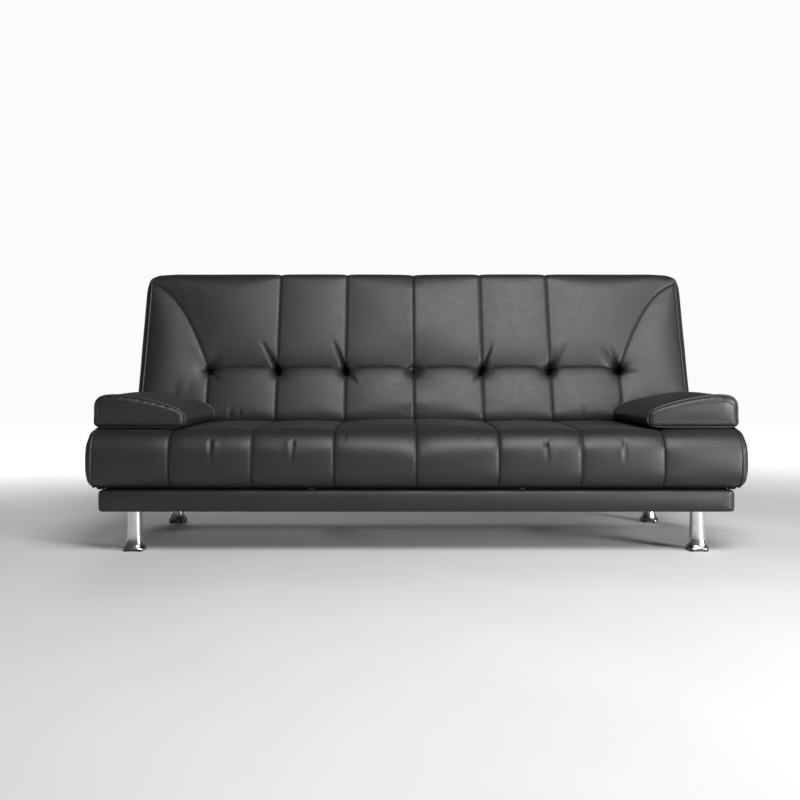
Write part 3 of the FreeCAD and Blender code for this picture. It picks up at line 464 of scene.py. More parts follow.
@dataclass(frozen=True)
class Timber:
    """Sawn and planed wood with long grain, or rotary-cut plywood with its layered edges.

    Attributes:
        name: Name of the finish.
        early: Pale early wood.
        late: Dark late wood.
        ring_mm: Distance between two grain lines.
        layers_mm: Thickness of a plywood layer, or 0 for solid wood.
    """

    name: str
    early: str
    late: str
    ring_mm: float
    layers_mm: float = 0.0

    def build(self) -> bpy.types.Material:
        """Build the material."""
        material, tree, shader, place = new_material(self.name)
        long = add_node(tree, "ShaderNodeMapping", inputs={"Vector": place, "Scale": (0.06, 0.6, 1.0)})
        wander = add_node(
            tree,
            "ShaderNodeTexNoise",
            inputs={"Vector": long.outputs["Vector"], "Scale": 18.0, "Detail": 3.0, "Distortion": 0.6},
        )
        rings = add_node(
            tree,
            "ShaderNodeTexWave",
            {"bands_direction": "Z"},
            {
                "Vector": long.outputs["Vector"],
                "Scale": 0.3 / (self.ring_mm * MM),
                "Distortion": 7.0,
                "Detail": 3.0,
                "Detail Scale": 1.4,
            },
        )
        grain = ramp_node(tree, rings.outputs["Fac"], [(0.2, self.early), (0.85, self.late)])
        mottle = ramp_node(tree, wander.outputs["Fac"], [(0.3, "#c9c9c9"), (0.7, "#ffffff")])
        blended = add_node(
            tree,
            "ShaderNodeMix",
            {"data_type": "RGBA", "blend_type": "MULTIPLY"},
            {"Factor": 0.5, 6: grain.outputs["Color"], 7: mottle.outputs["Color"]},
        )
        colour = blended.outputs[2]
        if self.layers_mm:
            layers = add_node(
                tree,
                "ShaderNodeTexWave",
                {"bands_direction": "Z"},
                {"Vector": place, "Scale": 0.05 / (self.layers_mm * MM)},
            )
            edge = ramp_node(tree, layers.outputs["Fac"], [(0.4, "#8f7350"), (0.6, "#ffffff")])
            geometry = add_node(tree, "ShaderNodeNewGeometry")
            split = add_node(
                tree, "ShaderNodeSeparateXYZ", inputs={"Vector": geometry.outputs["True Normal"]}
            )
            flat = add_node(tree, "ShaderNodeMath", {"operation": "ABSOLUTE"}, {0: split.outputs["Z"]})
            side = add_node(
                tree, "ShaderNodeMath", {"operation": "LESS_THAN"}, {0: flat.outputs["Value"], 1: 0.5}
            )
            layered = add_node(
                tree,
                "ShaderNodeMix",
                {"data_type": "RGBA", "blend_type": "MULTIPLY"},
                {"Factor": side.outputs["Value"], 6: colour, 7: edge.outputs["Color"]},
            )
            colour = layered.outputs[2]
        tree.links.new(colour, shader.inputs["Base Color"])
        relief = add_node(
            tree,
            "ShaderNodeBump",
            inputs={"Strength": 0.2, "Distance": 0.3 * MM, "Height": rings.outputs["Fac"]},
        )
        tree.links.new(relief.outputs["Normal"], shader.inputs["Normal"])
        shader.inputs["Roughness"].default_value = 0.62
        return material


SEAT_LEATHER = FauxLeather("charcoal_faux_leather")
WELT_LEATHER = FauxLeather("charcoal_faux_leather_welt", colour="#232223", roughness=0.40, bump=0.1)
REAR_VINYL = FauxLeather("thin_rear_vinyl", colour="#1c1b1c", grain_mm=3.0, roughness=0.55, bump=0.3)
CHROME = Metal("bright_chrome_plate", "#e6e6e8", "#dcdce0", 0.22, 0.04, 30.0, bump=0.01)

COATS = {
    Coat.POWDER_COAT: Moulded(Coat.POWDER_COAT.value, "#17181a", "#222326", 0.42, 0.9, 0.25),
    Coat.ZINC_PLATE: Metal(Coat.ZINC_PLATE.value, "#b9bab6", "#a5a69f", 0.3, 0.1, 7.0),
    Coat.SPRING_WIRE: Metal(Coat.SPRING_WIRE.value, "#8b8c8e", "#6f7072", 0.32, 0.08, 4.0, stretch=6.0),
    Coat.CLIP: Moulded(Coat.CLIP.value, "#2a2a2b", "#363637", 0.6, 0.6, 0.2),
    Coat.PINE: Timber(Coat.PINE.value, "#dcb98a", "#b98a55", 6.0),
    Coat.PLYWOOD: Timber(Coat.PLYWOOD.value, "#dcc39a", "#c6a878", 9.0, layers_mm=1.5),
    Coat.DUST_CLOTH: Moulded(Coat.DUST_CLOTH.value, "#141414", "#202021", 0.93, 1.6, 0.6, 0.4),
    Coat.RUBBER: Moulded(Coat.RUBBER.value, "#151515", "#1f1f20", 0.78, 0.8, 0.3),
}

# ---------------------------------------------------------------- mesh tools


def deselect_all() -> None:
    """Leave nothing selected."""
    bpy.ops.object.select_all(action="DESELECT")


def select_only(piece: bpy.types.Object) -> None:
    """Select one object and make it active.

    Args:
        piece: The object.
    """
    deselect_all()
    piece.select_set(True)
    bpy.context.view_layer.objects.active = piece


def apply_modifier(piece: bpy.types.Object, kind: str, settings: dict) -> None:
    """Add a modifier and apply it at once.

    Args:
        piece: The object.
        kind: Type name of the modifier.
        settings: Attributes to set on it.
    """
    modifier = piece.modifiers.new(kind.title(), kind)
    for name, setting in settings.items():
        setattr(modifier, name, setting)
    select_only(piece)
    bpy.ops.object.modifier_apply(modifier=modifier.name)


def settle(piece: bpy.types.Object) -> None:
    """Put an object's place, turn and scale into its mesh.

    Args:
        piece: The object.
    """
    select_only(piece)
    bpy.ops.object.transform_apply(location=True, rotation=True, scale=True)


def points_of(piece: bpy.types.Object) -> Array:
    """All vertex places of a mesh object, one row each."""
    flat = np.empty(len(piece.data.vertices) * 3, dtype=np.float64)
    piece.data.vertices.foreach_get("co", flat)
    return flat.reshape(-1, 3)


def normals_of(piece: bpy.types.Object) -> Array:
    """All vertex normals of a mesh object, one row each."""
    flat = np.empty(len(piece.data.vertices) * 3, dtype=np.float64)
    piece.data.vertices.foreach_get("normal", flat)
    return flat.reshape(-1, 3)


def set_points(piece: bpy.types.Object, points: Array) -> None:
    """Move all vertices of a mesh object.

    Args:
        piece: The object.
        points: The new places, one row each.
    """
    piece.data.vertices.foreach_set("co", points.reshape(-1))
    piece.data.update()


def turned(points: Array, matrix: Matrix) -> Array:
    """Carry points through a matrix.

    Args:
        points: Places, one row each.
        matrix: A four-by-four matrix.

    Returns:
        The carried places.
    """
    grid = np.array(matrix)
    return points @ grid[:3, :3].T + grid[:3, 3]


def smoothstep(low: float, high: float, values: Array) -> Array:
    """Ease values from 0 at low to 1 at high."""
    ramp = np.clip((values - low) / (high - low), 0.0, 1.0)
    return ramp * ramp * (3 - 2 * ramp)


def bell(distance: Array, width: float) -> Array:
    """A bell curve over a distance, 1 high and about twice the given width across."""
    return np.exp(-((distance / width) ** 2))


def round_edge(
    points: Array,
    first: int,
    low_high: tuple[float | None, float | None],
    second: int,
    pair: tuple[float | None, float | None],
    radius: float,
) -> None:
    """Round the four long edges of a boxy shape by drawing its corners in to circles.

    Args:
        points: Places, changed in place.
        first: First axis of the plane that the edges stand on.
        low_high: Lowest and highest value of the box on the first axis; None leaves that side alone.
        second: Second axis of that plane.
        pair: Lowest and highest value on the second axis, or None.
        radius: Radius of the rounding.
    """
    for wall, sign in zip(low_high, (-1, 1)):
        for other, turn in zip(pair, (-1, 1)):
            if wall is None or other is None:
                continue
            across = (points[:, first] - (wall - sign * radius)) * sign
            along = (points[:, second] - (other - turn * radius)) * turn
            corner = (across > 0) & (along > 0)
            reach = np.hypot(across[corner], along[corner])
            pull = np.minimum(1.0, radius / np.maximum(reach, 1e-9))
            points[corner, first] = wall - sign * radius + sign * across[corner] * pull
            points[corner, second] = other - turn * radius + turn * along[corner] * pull


@dataclass(frozen=True)
class Fold:
    """A short crease with a ridge beside it that fades away from a tuft or a pinched place.

    Attributes:
        start: Deep end of the crease, on the pad's face.
        end: End where it has faded.
        depth: Depth at the deep end.
        width: Half width of the crease.
        ridge: Height of the ridge beside it, on the left when looking from start to end; negative puts
            it on the right.
    """

    start: tuple[float, float]
    end: tuple[float, float]
    depth: float
    width: float
    ridge: float

    def height(self, across: Array, up: Array) -> Array:
        """Height that the fold adds at points of the face.

        Args:
            across: First face coordinate of each point.
            up: Second face coordinate of each point.

        Returns:
            The height, below 0 in the crease.
        """
        run = np.array(self.end) - np.array(self.start)
        length = float(np.hypot(*run))
        way = run / length
        along = ((across - self.start[0]) * way[0] + (up - self.start[1]) * way[1]) / length
        aside = -(across - self.start[0]) * way[1] + (up - self.start[1]) * way[0]
        fade = np.clip(1 - along, 0, 1) ** 1.1 * smoothstep(-0.25, 0.05, along)
        crease = -self.depth * bell(aside, self.width)
        shift = math.copysign(2.6 * self.width, self.ridge)
        swell = abs(self.ridge) * bell(aside - shift, 2.0 * self.width)
        return (crease + swell) * fade


def near_path(across: Array, up: Array, path: Array) -> Array:
    """Distance from points of a face to a run of straight lines.

    Args:
        across: First face coordinate of each point.
        up: Second face coordinate of each point.
        path: Corners of the run, one row each.

    Returns:
        The distance of each point.
    """
    best = np.full(across.shape, 1e9)
    for start, end in zip(path[:-1], path[1:]):
        run = end - start
        share = ((across - start[0]) * run[0] + (up - start[1]) * run[1]) / float(run @ run)
        share = np.clip(share, 0, 1)
        gap = np.hypot(across - start[0] - share * run[0], up - start[1] - share * run[1])
        best = np.minimum(best, gap)
    return best


def bezier(corners: list[tuple[float, float]], steps: int) -> Array:
    """Points along a cubic curve.

    Args:
        corners: Its four control points.
        steps: Number of straight pieces.

    Returns:
        Points, one row each.
    """
    share = np.linspace(0, 1, steps + 1)[:, None]
    first, second, third, last = (np.array(corner)[None, :] for corner in corners)
    rest = 1 - share
    return rest**3 * first + 3 * rest**2 * share * second + 3 * rest * share**2 * third + share**3 * last


def snap(values: Array, target: Array, reach: float, chosen: Array) -> Array:
    """Pull the mesh row that lies nearest to a seam onto it, so that the seam is cut cleanly.

    Args:
        values: One coordinate of each point.
        target: That coordinate of the seam beside each point.
        reach: Half the distance between two mesh rows.
        chosen: Points that may move.

    Returns:
        The coordinate with the nearest row moved.
    """
    close = chosen & (np.abs(values - target) <= reach)
    return np.where(close, target, values)


def write_seam_and_shade(piece: bpy.types.Object, strength: Array) -> None:
    """Store, from 0 to 1 for each vertex, how far the leather darkens and loses its gloss: seam lines,
    partly painted shade, and painted shade in creases, tuft pits and recesses.

    Args:
        piece: The object.
        strength: One value for each vertex.
    """
    # The value holds dark seam lines together with painted shade in creases, tuft pits and recesses.
    layer = piece.data.attributes.new("seam", "FLOAT", "POINT")
    layer.data.foreach_set("value", np.clip(strength, 0, 1).astype(np.float32))


def dress(piece: bpy.types.Object, material: bpy.types.Material, smooth_degrees: float = 50.0) -> None:
    """Give a piece its material and smooth shading.

    Args:
        piece: The object.
        material: The finish.
        smooth_degrees: Edges sharper than this stay sharp.
    """
    piece.data.materials.clear()
    piece.data.materials.append(material)
    select_only(piece)
    bpy.ops.object.shade_smooth_by_angle(angle=math.radians(smooth_degrees))


def report(piece: bpy.types.Object) -> None:
    """Log a finished piece's name and face count."""
    LOG.info("%s: %d faces", piece.name, len(piece.data.polygons))


def welt(
    name: str, skin: bpy.types.Object, route: Array, radius: float, closed: bool, sink: float = 0.35
) -> bpy.types.Object:
    """Lay a round welt cord on a pad along a route near its surface.

    Args:
        name: Name of the piece.
        skin: The finished pad.
        route: Places near the pad's surface, one row each.
        radius: Radius of the cord.
        closed: Whether the cord joins its own start.
        sink: Share of the radius that is sunk in the pad.

    Returns:
        The welt as a mesh.
    """
    tree = BVHTree.FromObject(skin, bpy.context.evaluated_depsgraph_get())
    laid = []
    for row in route:
        spot, normal, _, _ = tree.find_nearest(Vector(row))
        laid.append(spot + normal * radius * (1 - 2 * sink))
    line = np.array(laid)
    for _ in range(8):
        before, after = np.roll(line, 1, 0), np.roll(line, -1, 0)
        if not closed:
            before[0], after[-1] = line[0], line[-1]
        line = (before + 2 * line + after) / 4
    curve = bpy.data.curves.new(name, "CURVE")
    curve.dimensions = "3D"
    curve.bevel_depth = radius
    curve.bevel_resolution = 3
    curve.use_fill_caps = not closed
    spline = curve.splines.new("POLY")
    spline.points.add(len(line) - 1)
    for point, spot in zip(spline.points, line):
        point.co = (*spot, 1.0)
    spline.use_cyclic_u = closed
    cord = bpy.data.objects.new(name, curve)
    bpy.context.scene.collection.objects.link(cord)
    select_only(cord)
    bpy.ops.object.convert(target="MESH")
    return bpy.context.view_layer.objects.active


# ---------------------------------------------------------------- padded pieces


@dataclass
class Pad:
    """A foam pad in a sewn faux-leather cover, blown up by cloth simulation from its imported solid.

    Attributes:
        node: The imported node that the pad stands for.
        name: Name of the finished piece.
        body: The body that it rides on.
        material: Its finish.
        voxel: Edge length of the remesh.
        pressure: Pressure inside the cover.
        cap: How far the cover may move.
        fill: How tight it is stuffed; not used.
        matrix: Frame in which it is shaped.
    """

    node: str
    name: str
    body: str
    material: bpy.types.Material
    voxel: float = 0.006
    pressure: float = 4.0
    cap: float = 0.012
    fill: float = 0.8
    matrix: Matrix = field(default_factory=Matrix)

    def copy_node(self) -> bpy.types.Object:
        """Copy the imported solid, merged and remeshed to even squares."""
        mesh = frame["nodes"][self.node].data.copy()
        piece = bpy.data.objects.new(self.name, mesh)
        bpy.context.scene.collection.objects.link(piece)
        select_only(piece)
        bpy.ops.object.mode_set(mode="EDIT")
        bpy.ops.mesh.select_all(action="SELECT")
        bpy.ops.mesh.remove_doubles(threshold=0.00001)
        bpy.ops.object.mode_set(mode="OBJECT")
        apply_modifier(piece, "REMESH", {"mode": "VOXEL", "voxel_size": self.voxel})
        return piece

    def inflate(self, piece: bpy.types.Object, held: Array, frames: int = 20) -> None:
        """Blow the cover up against its seams and keep the result.

        Args:
            piece: The remeshed pad.
            held: True for each vertex that a seam or the frame holds.
            frames: Number of simulated frames.
        """
        group = piece.vertex_groups.new(name="held")
        group.add([int(index) for index in np.flatnonzero(held)], 1.0, "REPLACE")
        start = points_of(piece)
        cloth = piece.modifiers.new("Cloth", "CLOTH")
        cloth.settings.quality = 4
        cloth.settings.mass = 0.35
        cloth.settings.tension_stiffness = 20
        cloth.settings.compression_stiffness = 20
        cloth.settings.shear_stiffness = 8
        cloth.settings.bending_stiffness = 1.5
        cloth.settings.use_pressure = True
        cloth.settings.uniform_pressure_force = self.pressure
        cloth.settings.effector_weights.gravity = 0
        cloth.settings.vertex_group_mass = group.name
        cloth.point_cache.frame_start = 1
        cloth.point_cache.frame_end = frames
        scene = bpy.context.scene
        for step in range(1, frames + 1):
            scene.frame_set(step)
        grown = piece.evaluated_get(bpy.context.evaluated_depsgraph_get())
        flat = np.empty(len(start) * 3, dtype=np.float64)
        grown.data.vertices.foreach_get("co", flat)
        shift = flat.reshape(-1, 3) - start
        length = np.linalg.norm(shift, axis=1)
        limit = np.minimum(1.0, self.cap / np.maximum(length, 1e-9))
        piece.modifiers.remove(cloth)
        set_points(piece, start + shift * limit[:, None])
        piece.vertex_groups.clear()
        scene.frame_set(1)

    def finish(self, piece: bpy.types.Object) -> bpy.types.Object:
        """Dress a shaped pad, tie it to its body and hide its imported node."""
        dress(piece, self.material)
        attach(piece, self.body)
        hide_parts(self.node)
        report(piece)
        return piece


@dataclass
class SeatPad(Pad):
    """The seat: a bullnose pad sewn into channels that run over its front and top.

    Attributes:
        layout: Places from the frame.
        seams: Number of seams on each side of the middle one.
        seam_depth: Depth of the quilting between two channels.
        end_radius: Rounding of the pad's ends.
        rest_height: Height of the sagging lower edge, just in the padded top of the base.
        pin_reach: How near a seam a vertex lies to be held by it.
    """

    layout: Layout = None
    seams: int = 3
    seam_depth: float = 0.0050
    end_radius: float = 0.017
    rest_height: float = 0.1774
    pin_reach: float = 0.003

    def masks(self, points: Array, normals: Array) -> tuple[Array, Array]:
        """Where the sewn face is, and how far each point is from the nearest seam.

        Args:
            points: Places in the sofa's frame.
            normals: Normals there.

        Returns:
            A weight from 0 to 1 for the sewn face, and the distance to the nearest seam.
        """
        pitch = self.layout.channel_pitch
        column = np.clip(np.round(points[:, 0] / pitch), -self.seams, self.seams)
        distance = np.abs(points[:, 0] - column * pitch)
        depth = points[:, 1] - self.layout.front
        low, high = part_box(self.node)
        upper = smoothstep(0.1, 0.6, normals[:, 2])
        fore = smoothstep(0.1, 0.6, -normals[:, 1]) * smoothstep(0.13, 0.09, depth)
        face = np.maximum(upper * smoothstep(high.z - 0.1, high.z - 0.06, points[:, 2]), fore)
        face *= smoothstep(high.y, high.y - 0.02, points[:, 1])
        half = self.layout.half_width
        face *= smoothstep(half + 0.004, half - 0.012, np.abs(points[:, 0]))
        return face, distance

    def lip(self, points: Array) -> Array:
        """How far the pad's lower edge sags, so that it rests on the base all round its front and ends.

        Args:
            points: Places in the sofa's frame.

        Returns:
            The drop of each point.
        """
        low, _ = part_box(self.node)
        fore_inset = points[:, 1] - low.y
        end_inset = self.layout.half_width - np.abs(points[:, 0])
        band = smoothstep(0.026, 0.044, fore_inset) * smoothstep(0.006, 0.036, end_inset)
        band *= smoothstep(0.076, 0.060, np.minimum(fore_inset, end_inset))
        weight = band * smoothstep(low.z + 0.030, low.z + 0.004, points[:, 2])
        front_edge = (points[:, 1] < low.y + 0.06) & (np.abs(points[:, 0]) < self.layout.half_width - 0.1)
        lowest = points[front_edge, 2].min()
        return np.maximum(lowest - self.rest_height, 0) * weight

    def pinches(self) -> list[Fold]:
        """Upright pinches in the roll of the front, on X and Z."""
        tall = [(-0.561, 1), (-0.337, -1), (0.353, 1), (0.567, -1)]
        small = [(-0.196, 1), (0.166, -1)]
        folds = [
            Fold((x, 0.304), (x + 0.003 * way, 0.244), 0.0044, 0.0046, 0.0013 * way) for x, way in tall
        ]
        folds += [Fold((x, 0.330), (x, 0.302), 0.0024, 0.0045, 0.0008 * way) for x, way in small]
        return folds

    def build(self) -> bpy.types.Object:
        """Model the seat pad."""
        piece = self.copy_node()
        low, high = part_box(self.node)
        points = points_of(piece)
        walls = (low.x, high.x)
        round_edge(points, 0, walls, 2, (low.z, high.z), self.end_radius)
        round_edge(points, 0, walls, 1, (low.y, None), self.end_radius)
        pitch = self.layout.channel_pitch
        column = np.clip(np.round(points[:, 0] / pitch), -self.seams, self.seams) * pitch
        points[:, 0] = snap(points[:, 0], column, self.voxel / 2, np.full(len(points), True))
        set_points(piece, points)
        normals = normals_of(piece)
        face, distance = self.masks(points, normals)
        under_arm = smoothstep(0.60, 0.65, np.abs(points[:, 0])) * smoothstep(
            self.layout.front + 0.54, self.layout.front + 0.5, points[:, 1]
        )
        under_arm *= smoothstep(0.7, 0.95, normals[:, 2])
        quilt = 1 - np.exp(-distance / 0.024)
        rearward = smoothstep(0.10, 0.32, points[:, 1] - self.layout.front)
        lift = -self.seam_depth * (1 - quilt) * (1 - 0.55 * rearward) * face
        lift -= 0.002 * face
        lift -= 0.002 * under_arm
        end_cap = smoothstep(0.6, 0.95, np.abs(normals[:, 0])) * (np.abs(points[:, 0]) > high.x - 0.01)
        lift += 0.003 * end_cap * smoothstep(low.z, low.z + 0.05, points[:, 2]) * smoothstep(
            high.z, high.z - 0.05, points[:, 2]
        )
        set_points(piece, points + normals * lift[:, None])
        held = (face < 0.3) & (end_cap < 0.5)
        held |= (face > 0.3) & (distance < self.pin_reach)
        held |= under_arm > 0.5
        self.inflate(piece, held)
        apply_modifier(piece, "SMOOTH", {"factor": 0.5, "iterations": 2})
        apply_modifier(piece, "SUBSURF", {"levels": 1, "render_levels": 1})
        return self.sew(piece)

    def sew(self, piece: bpy.types.Object) -> bpy.types.Object:
        """Cut the seams and pinches into the blown-up pad.

        Args:
            piece: The pad.

        Returns:
            The finished pad.
        """
        points = points_of(piece)
        normals = normals_of(piece)
        face, distance = self.masks(points, normals)
        lift = -SEAM_DEPTH * bell(distance, SEAM_GROOVE) * face
        fore = smoothstep(0.35, 0.8, -normals[:, 1])
        for fold in self.pinches():
            lift += fold.height(points[:, 0], points[:, 2]) * fore
        points = points + normals * lift[:, None]
        points[:, 2] -= self.lip(points)
        set_points(piece, points)
        low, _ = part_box(self.node)
        # Painted shade: the pad's lower edge at the front darkens, in the crease where it meets the rail.
        crease = smoothstep(low.z + 0.010, low.z - 0.001, points[:, 2]) * (points[:, 1] < low.y + 0.08)
        write_seam_and_shade(piece, np.maximum(bell(distance, SEAM_LINE) * face * SEAM_SHADE, crease))
        return self.finish(piece)


@dataclass
class BackPad(Pad):
    """The back: a leaning pad with a row of blind tufts, arched seams and a leaf-shaped seam at each end.

    It is shaped in the back's own frame: X along the sofa, Y to the rear, Z up the pad from the hinge.

    Attributes:
        layout: Places from the frame.
        tuft_height: Height of the tuft row.
        tuft_count: Tufts on each side of the middle one.
        arch: Rise of the seam between two tufts.
        face_y: Hinge axis to the pad's face.
        rear_y: Hinge axis to its rear.
        top: Height of the pad's top.
        corner: Radius of its upper corners, seen from the front.
        pin_reach: How near a seam that the mesh follows a vertex lies to be held by it.
        leaf_reach: The same for the leaf-shaped seam, which crosses the mesh.
    """

    layout: Layout = None
    tuft_height: float = 0.202
    tuft_count: int = 3
    arch: float = 0.014
    face_y: float = -0.035
    rear_y: float = 0.095
    top: float = 0.556
    corner: float = 0.064
    pin_reach: float = 0.0025
    leaf_reach: float = 0.005

    def seam_distances(self, across: Array, up: Array) -> tuple[Array, Array, Array]:
        """Distances on the face to the straight and leaf seams, the row of arches and the tufts.

        Args:
            across: X of each point.
            up: Z of each point.

        Returns:
            Distance to the upright seams, signed height over the arches, distance to the nearest tuft.
        """
        pitch = self.layout.channel_pitch
        outer = self.tuft_count * pitch
        column = np.clip(np.round(across / pitch), -self.tuft_count, self.tuft_count)
        sideways = np.abs(across - column * pitch)
        share = (np.abs(across) % pitch) / pitch
        row = self.tuft_height + self.arch * (1 - (2 * share - 1) ** 2) ** 0.6 * (np.abs(across) < outer)
        over = up - row
        inner_column = np.abs(column) < self.tuft_count
        upright = np.where((over > 0) & ~inner_column, 1.0, sideways)
        leaf = bezier([(0.885, 0.508), (0.800, 0.482), (0.735, 0.360), (outer, self.tuft_height)], 14)
        upright = np.minimum(upright, near_path(np.abs(across), up, leaf))
        tuft = np.hypot(sideways, up - self.tuft_height)
        return upright, over, tuft

    def align_rows(self, points: Array) -> None:
        """Pull mesh rows of the face onto the upright seams and the row of arches.

        Args:
            points: Places in the back's frame, changed in place.
        """
        pitch = self.layout.channel_pitch
        face = points[:, 1] < self.face_y + 0.07
        column = np.clip(np.round(points[:, 0] / pitch), -self.tuft_count, self.tuft_count) * pitch
        points[:, 0] = snap(points[:, 0], column, self.voxel / 2, face)
        _, over, _ = self.seam_distances(points[:, 0], points[:, 2])
        inner = face & (np.abs(points[:, 0]) < self.tuft_count * pitch + 0.001)
        points[:, 2] = snap(points[:, 2], points[:, 2] - over, self.voxel / 2, inner)

    def folds(self) -> list[Fold]:
        """Pleats that run into the tufts, on X and Z of the face."""
        pitch = self.layout.channel_pitch
        row = self.tuft_height
        plan = [
            (-3, (0.036, -0.044), 0.0050, 0.0050, -0.0016),
            (-3, (0.034, 0.052), 0.0045, 0.0120, -0.0010),
            (-2, (-0.058, 0.102), 0.0115, 0.0058, -0.0008),
            (-2, (-0.024, 0.070), 0.0040, 0.0060, 0.0010),
            (-1, (-0.046, 0.106), 0.0115, 0.0058, -0.0008),
            (-1, (0.044, -0.060), 0.0055, 0.0055, 0.0030),
            (1, (0.040, 0.100), 0.0100, 0.0056, -0.0022),
            (1, (-0.034, -0.052), 0.0045, 0.0055, -0.0020),
            (2, (0.022, 0.080), 0.0050, 0.0070, -0.0010),
            (2, (0.060, 0.092), 0.0070, 0.0100, -0.0024),
            (3, (-0.064, 0.082), 0.0080, 0.0120, 0.0022),
            (3, (-0.030, 0.096), 0.0045, 0.0080, 0.0010),
            (3, (0.078, -0.014), 0.0050, 0.0056, -0.0020),
            (3, (0.044, 0.022), 0.0035, 0.0060, -0.0012),
        ]
        return [
            Fold((k * pitch, row), (k * pitch + dx, row + dz), depth, width, ridge)
            for k, (dx, dz), depth, width, ridge in plan
        ] + [
            Fold((-0.598, 0.040), (-0.590, 0.080), 0.0024, 0.0050, 0.0006),
            Fold((-0.562, 0.040), (-0.566, 0.074), 0.0018, 0.0050, -0.0005),
            Fold((0.548, 0.040), (0.556, 0.080), 0.0024, 0.0050, -0.0006),
        ]

    def face_weight(self, points: Array, normals: Array) -> Array:
        """How far each point belongs to the sewn face, from 0 to 1.

        Args:
            points: Places in the back's frame.
            normals: Normals in that frame.

        Returns:
            The weights.
        """
        fore = smoothstep(0.15, 0.7, -normals[:, 1]) * (points[:, 1] < self.face_y + 0.06)
        half = self.layout.half_width
        return fore * smoothstep(half + 0.002, half - 0.014, np.abs(points[:, 0]))

    def build(self) -> bpy.types.Object:
        """Model the back pad."""
        piece = self.copy_node()
        inverse = self.matrix.inverted()
        points = turned(points_of(piece), inverse)
        half = self.layout.half_width
        round_edge(points, 0, (-half, half), 2, (0.008, self.top), self.corner)
        round_edge(points, 0, (-half, half), 1, (self.face_y, self.rear_y), 0.018)
        self.align_rows(points)
        set_points(piece, points)
        normals = normals_of(piece)
        face = self.face_weight(points, normals)
        across, up = points[:, 0], points[:, 2]
        upright, over, tuft = self.seam_distances(across, up)
        inside = np.abs(across) < (self.tuft_count + 0.02) * self.layout.channel_pitch
        row = np.where(inside, np.abs(over), 1.0)
        lift = -0.0030 - 0.0030 * np.exp(-upright / 0.020)
        valley = np.exp(-np.maximum(over, 0) / 0.050) * np.exp(np.minimum(over, 0) / 0.030)
        fade_out = smoothstep(0.74, 0.64, np.abs(across))
        lift -= 0.010 * valley * fade_out
        lift -= 0.0035 * np.exp(-row / 0.016)
        lift -= 0.014 * np.exp(-tuft / 0.026)
        lift = lift * face
        top_roll = smoothstep(0.3, 0.8, normals[:, 2]) * (up > 0.45)
        brow = np.clip(-2 * normals[:, 1] * normals[:, 2], 0, 1) ** 2 * (up > 0.45)
        lift += 0.006 * brow * smoothstep(half - 0.02, half - 0.10, np.abs(across))
        lift -= 0.0015 * np.exp(-upright / 0.010) * top_roll * (1 - face)
        end_cap = smoothstep(0.6, 0.95, np.abs(normals[:, 0])) * (np.abs(across) > half - 0.01)
        lift += 0.003 * end_cap
        set_points(piece, points + normals * lift[:, None])
        held = (face < 0.3) & (end_cap < 0.5) & (top_roll < 0.5)
        beyond = np.abs(across) > self.tuft_count * self.layout.channel_pitch + 0.001
        reach = np.where(beyond, self.leaf_reach, self.pin_reach)
        held |= (face > 0.3) & ((upright < reach) | (row < self.pin_reach) | (tuft < 0.012))
        self.inflate(piece, held)
        apply_modifier(piece, "SMOOTH", {"factor": 0.5, "iterations": 2})
        apply_modifier(piece, "SUBSURF", {"levels": 1, "render_levels": 1})
        return self.sew(piece)

    def sew(self, piece: bpy.types.Object) -> bpy.types.Object:
        """Cut the seams, tufts and pleats into the blown-up pad.

        Args:
            piece: The pad, still in the back's frame.

        Returns:
            The finished pad.
        """
        points = points_of(piece)
        normals = normals_of(piece)
        face = self.face_weight(points, normals)
        across, up = points[:, 0], points[:, 2]
        upright, over, tuft = self.seam_distances(across, up)
        inside = np.abs(across) < (self.tuft_count + 0.01) * self.layout.channel_pitch
        row = np.where(inside, np.abs(over), 1.0)
        seam = np.minimum(upright, row)
        lift = -SEAM_DEPTH * bell(seam, SEAM_GROOVE)
        lift -= 0.0060 * np.exp(-tuft / 0.0060) + 0.0050 * bell(tuft, 0.022)
        pleats = sum(fold.height(across, up) for fold in self.folds())
        lift += pleats
        over_top = smoothstep(0.2, 0.7, normals[:, 2]) * (up > 0.5) * (1 - face)
        lift = lift * face - 0.0016 * bell(upright, 0.0036) * over_top
        points = points + normals * lift[:, None]
        set_points(piece, turned(points, self.matrix))
        # Dark seam lines, partly painted shade, and painted shade in the tuft pits and the pleat creases.
        shade = bell(seam, SEAM_LINE) * SEAM_SHADE + 0.9 * bell(tuft, 0.007)
        shade += np.clip(-pleats / 0.011, 0, 0.7)
        write_seam_and_shade(piece, shade * np.maximum(face, over_top * 0.8))
        return self.finish(piece)


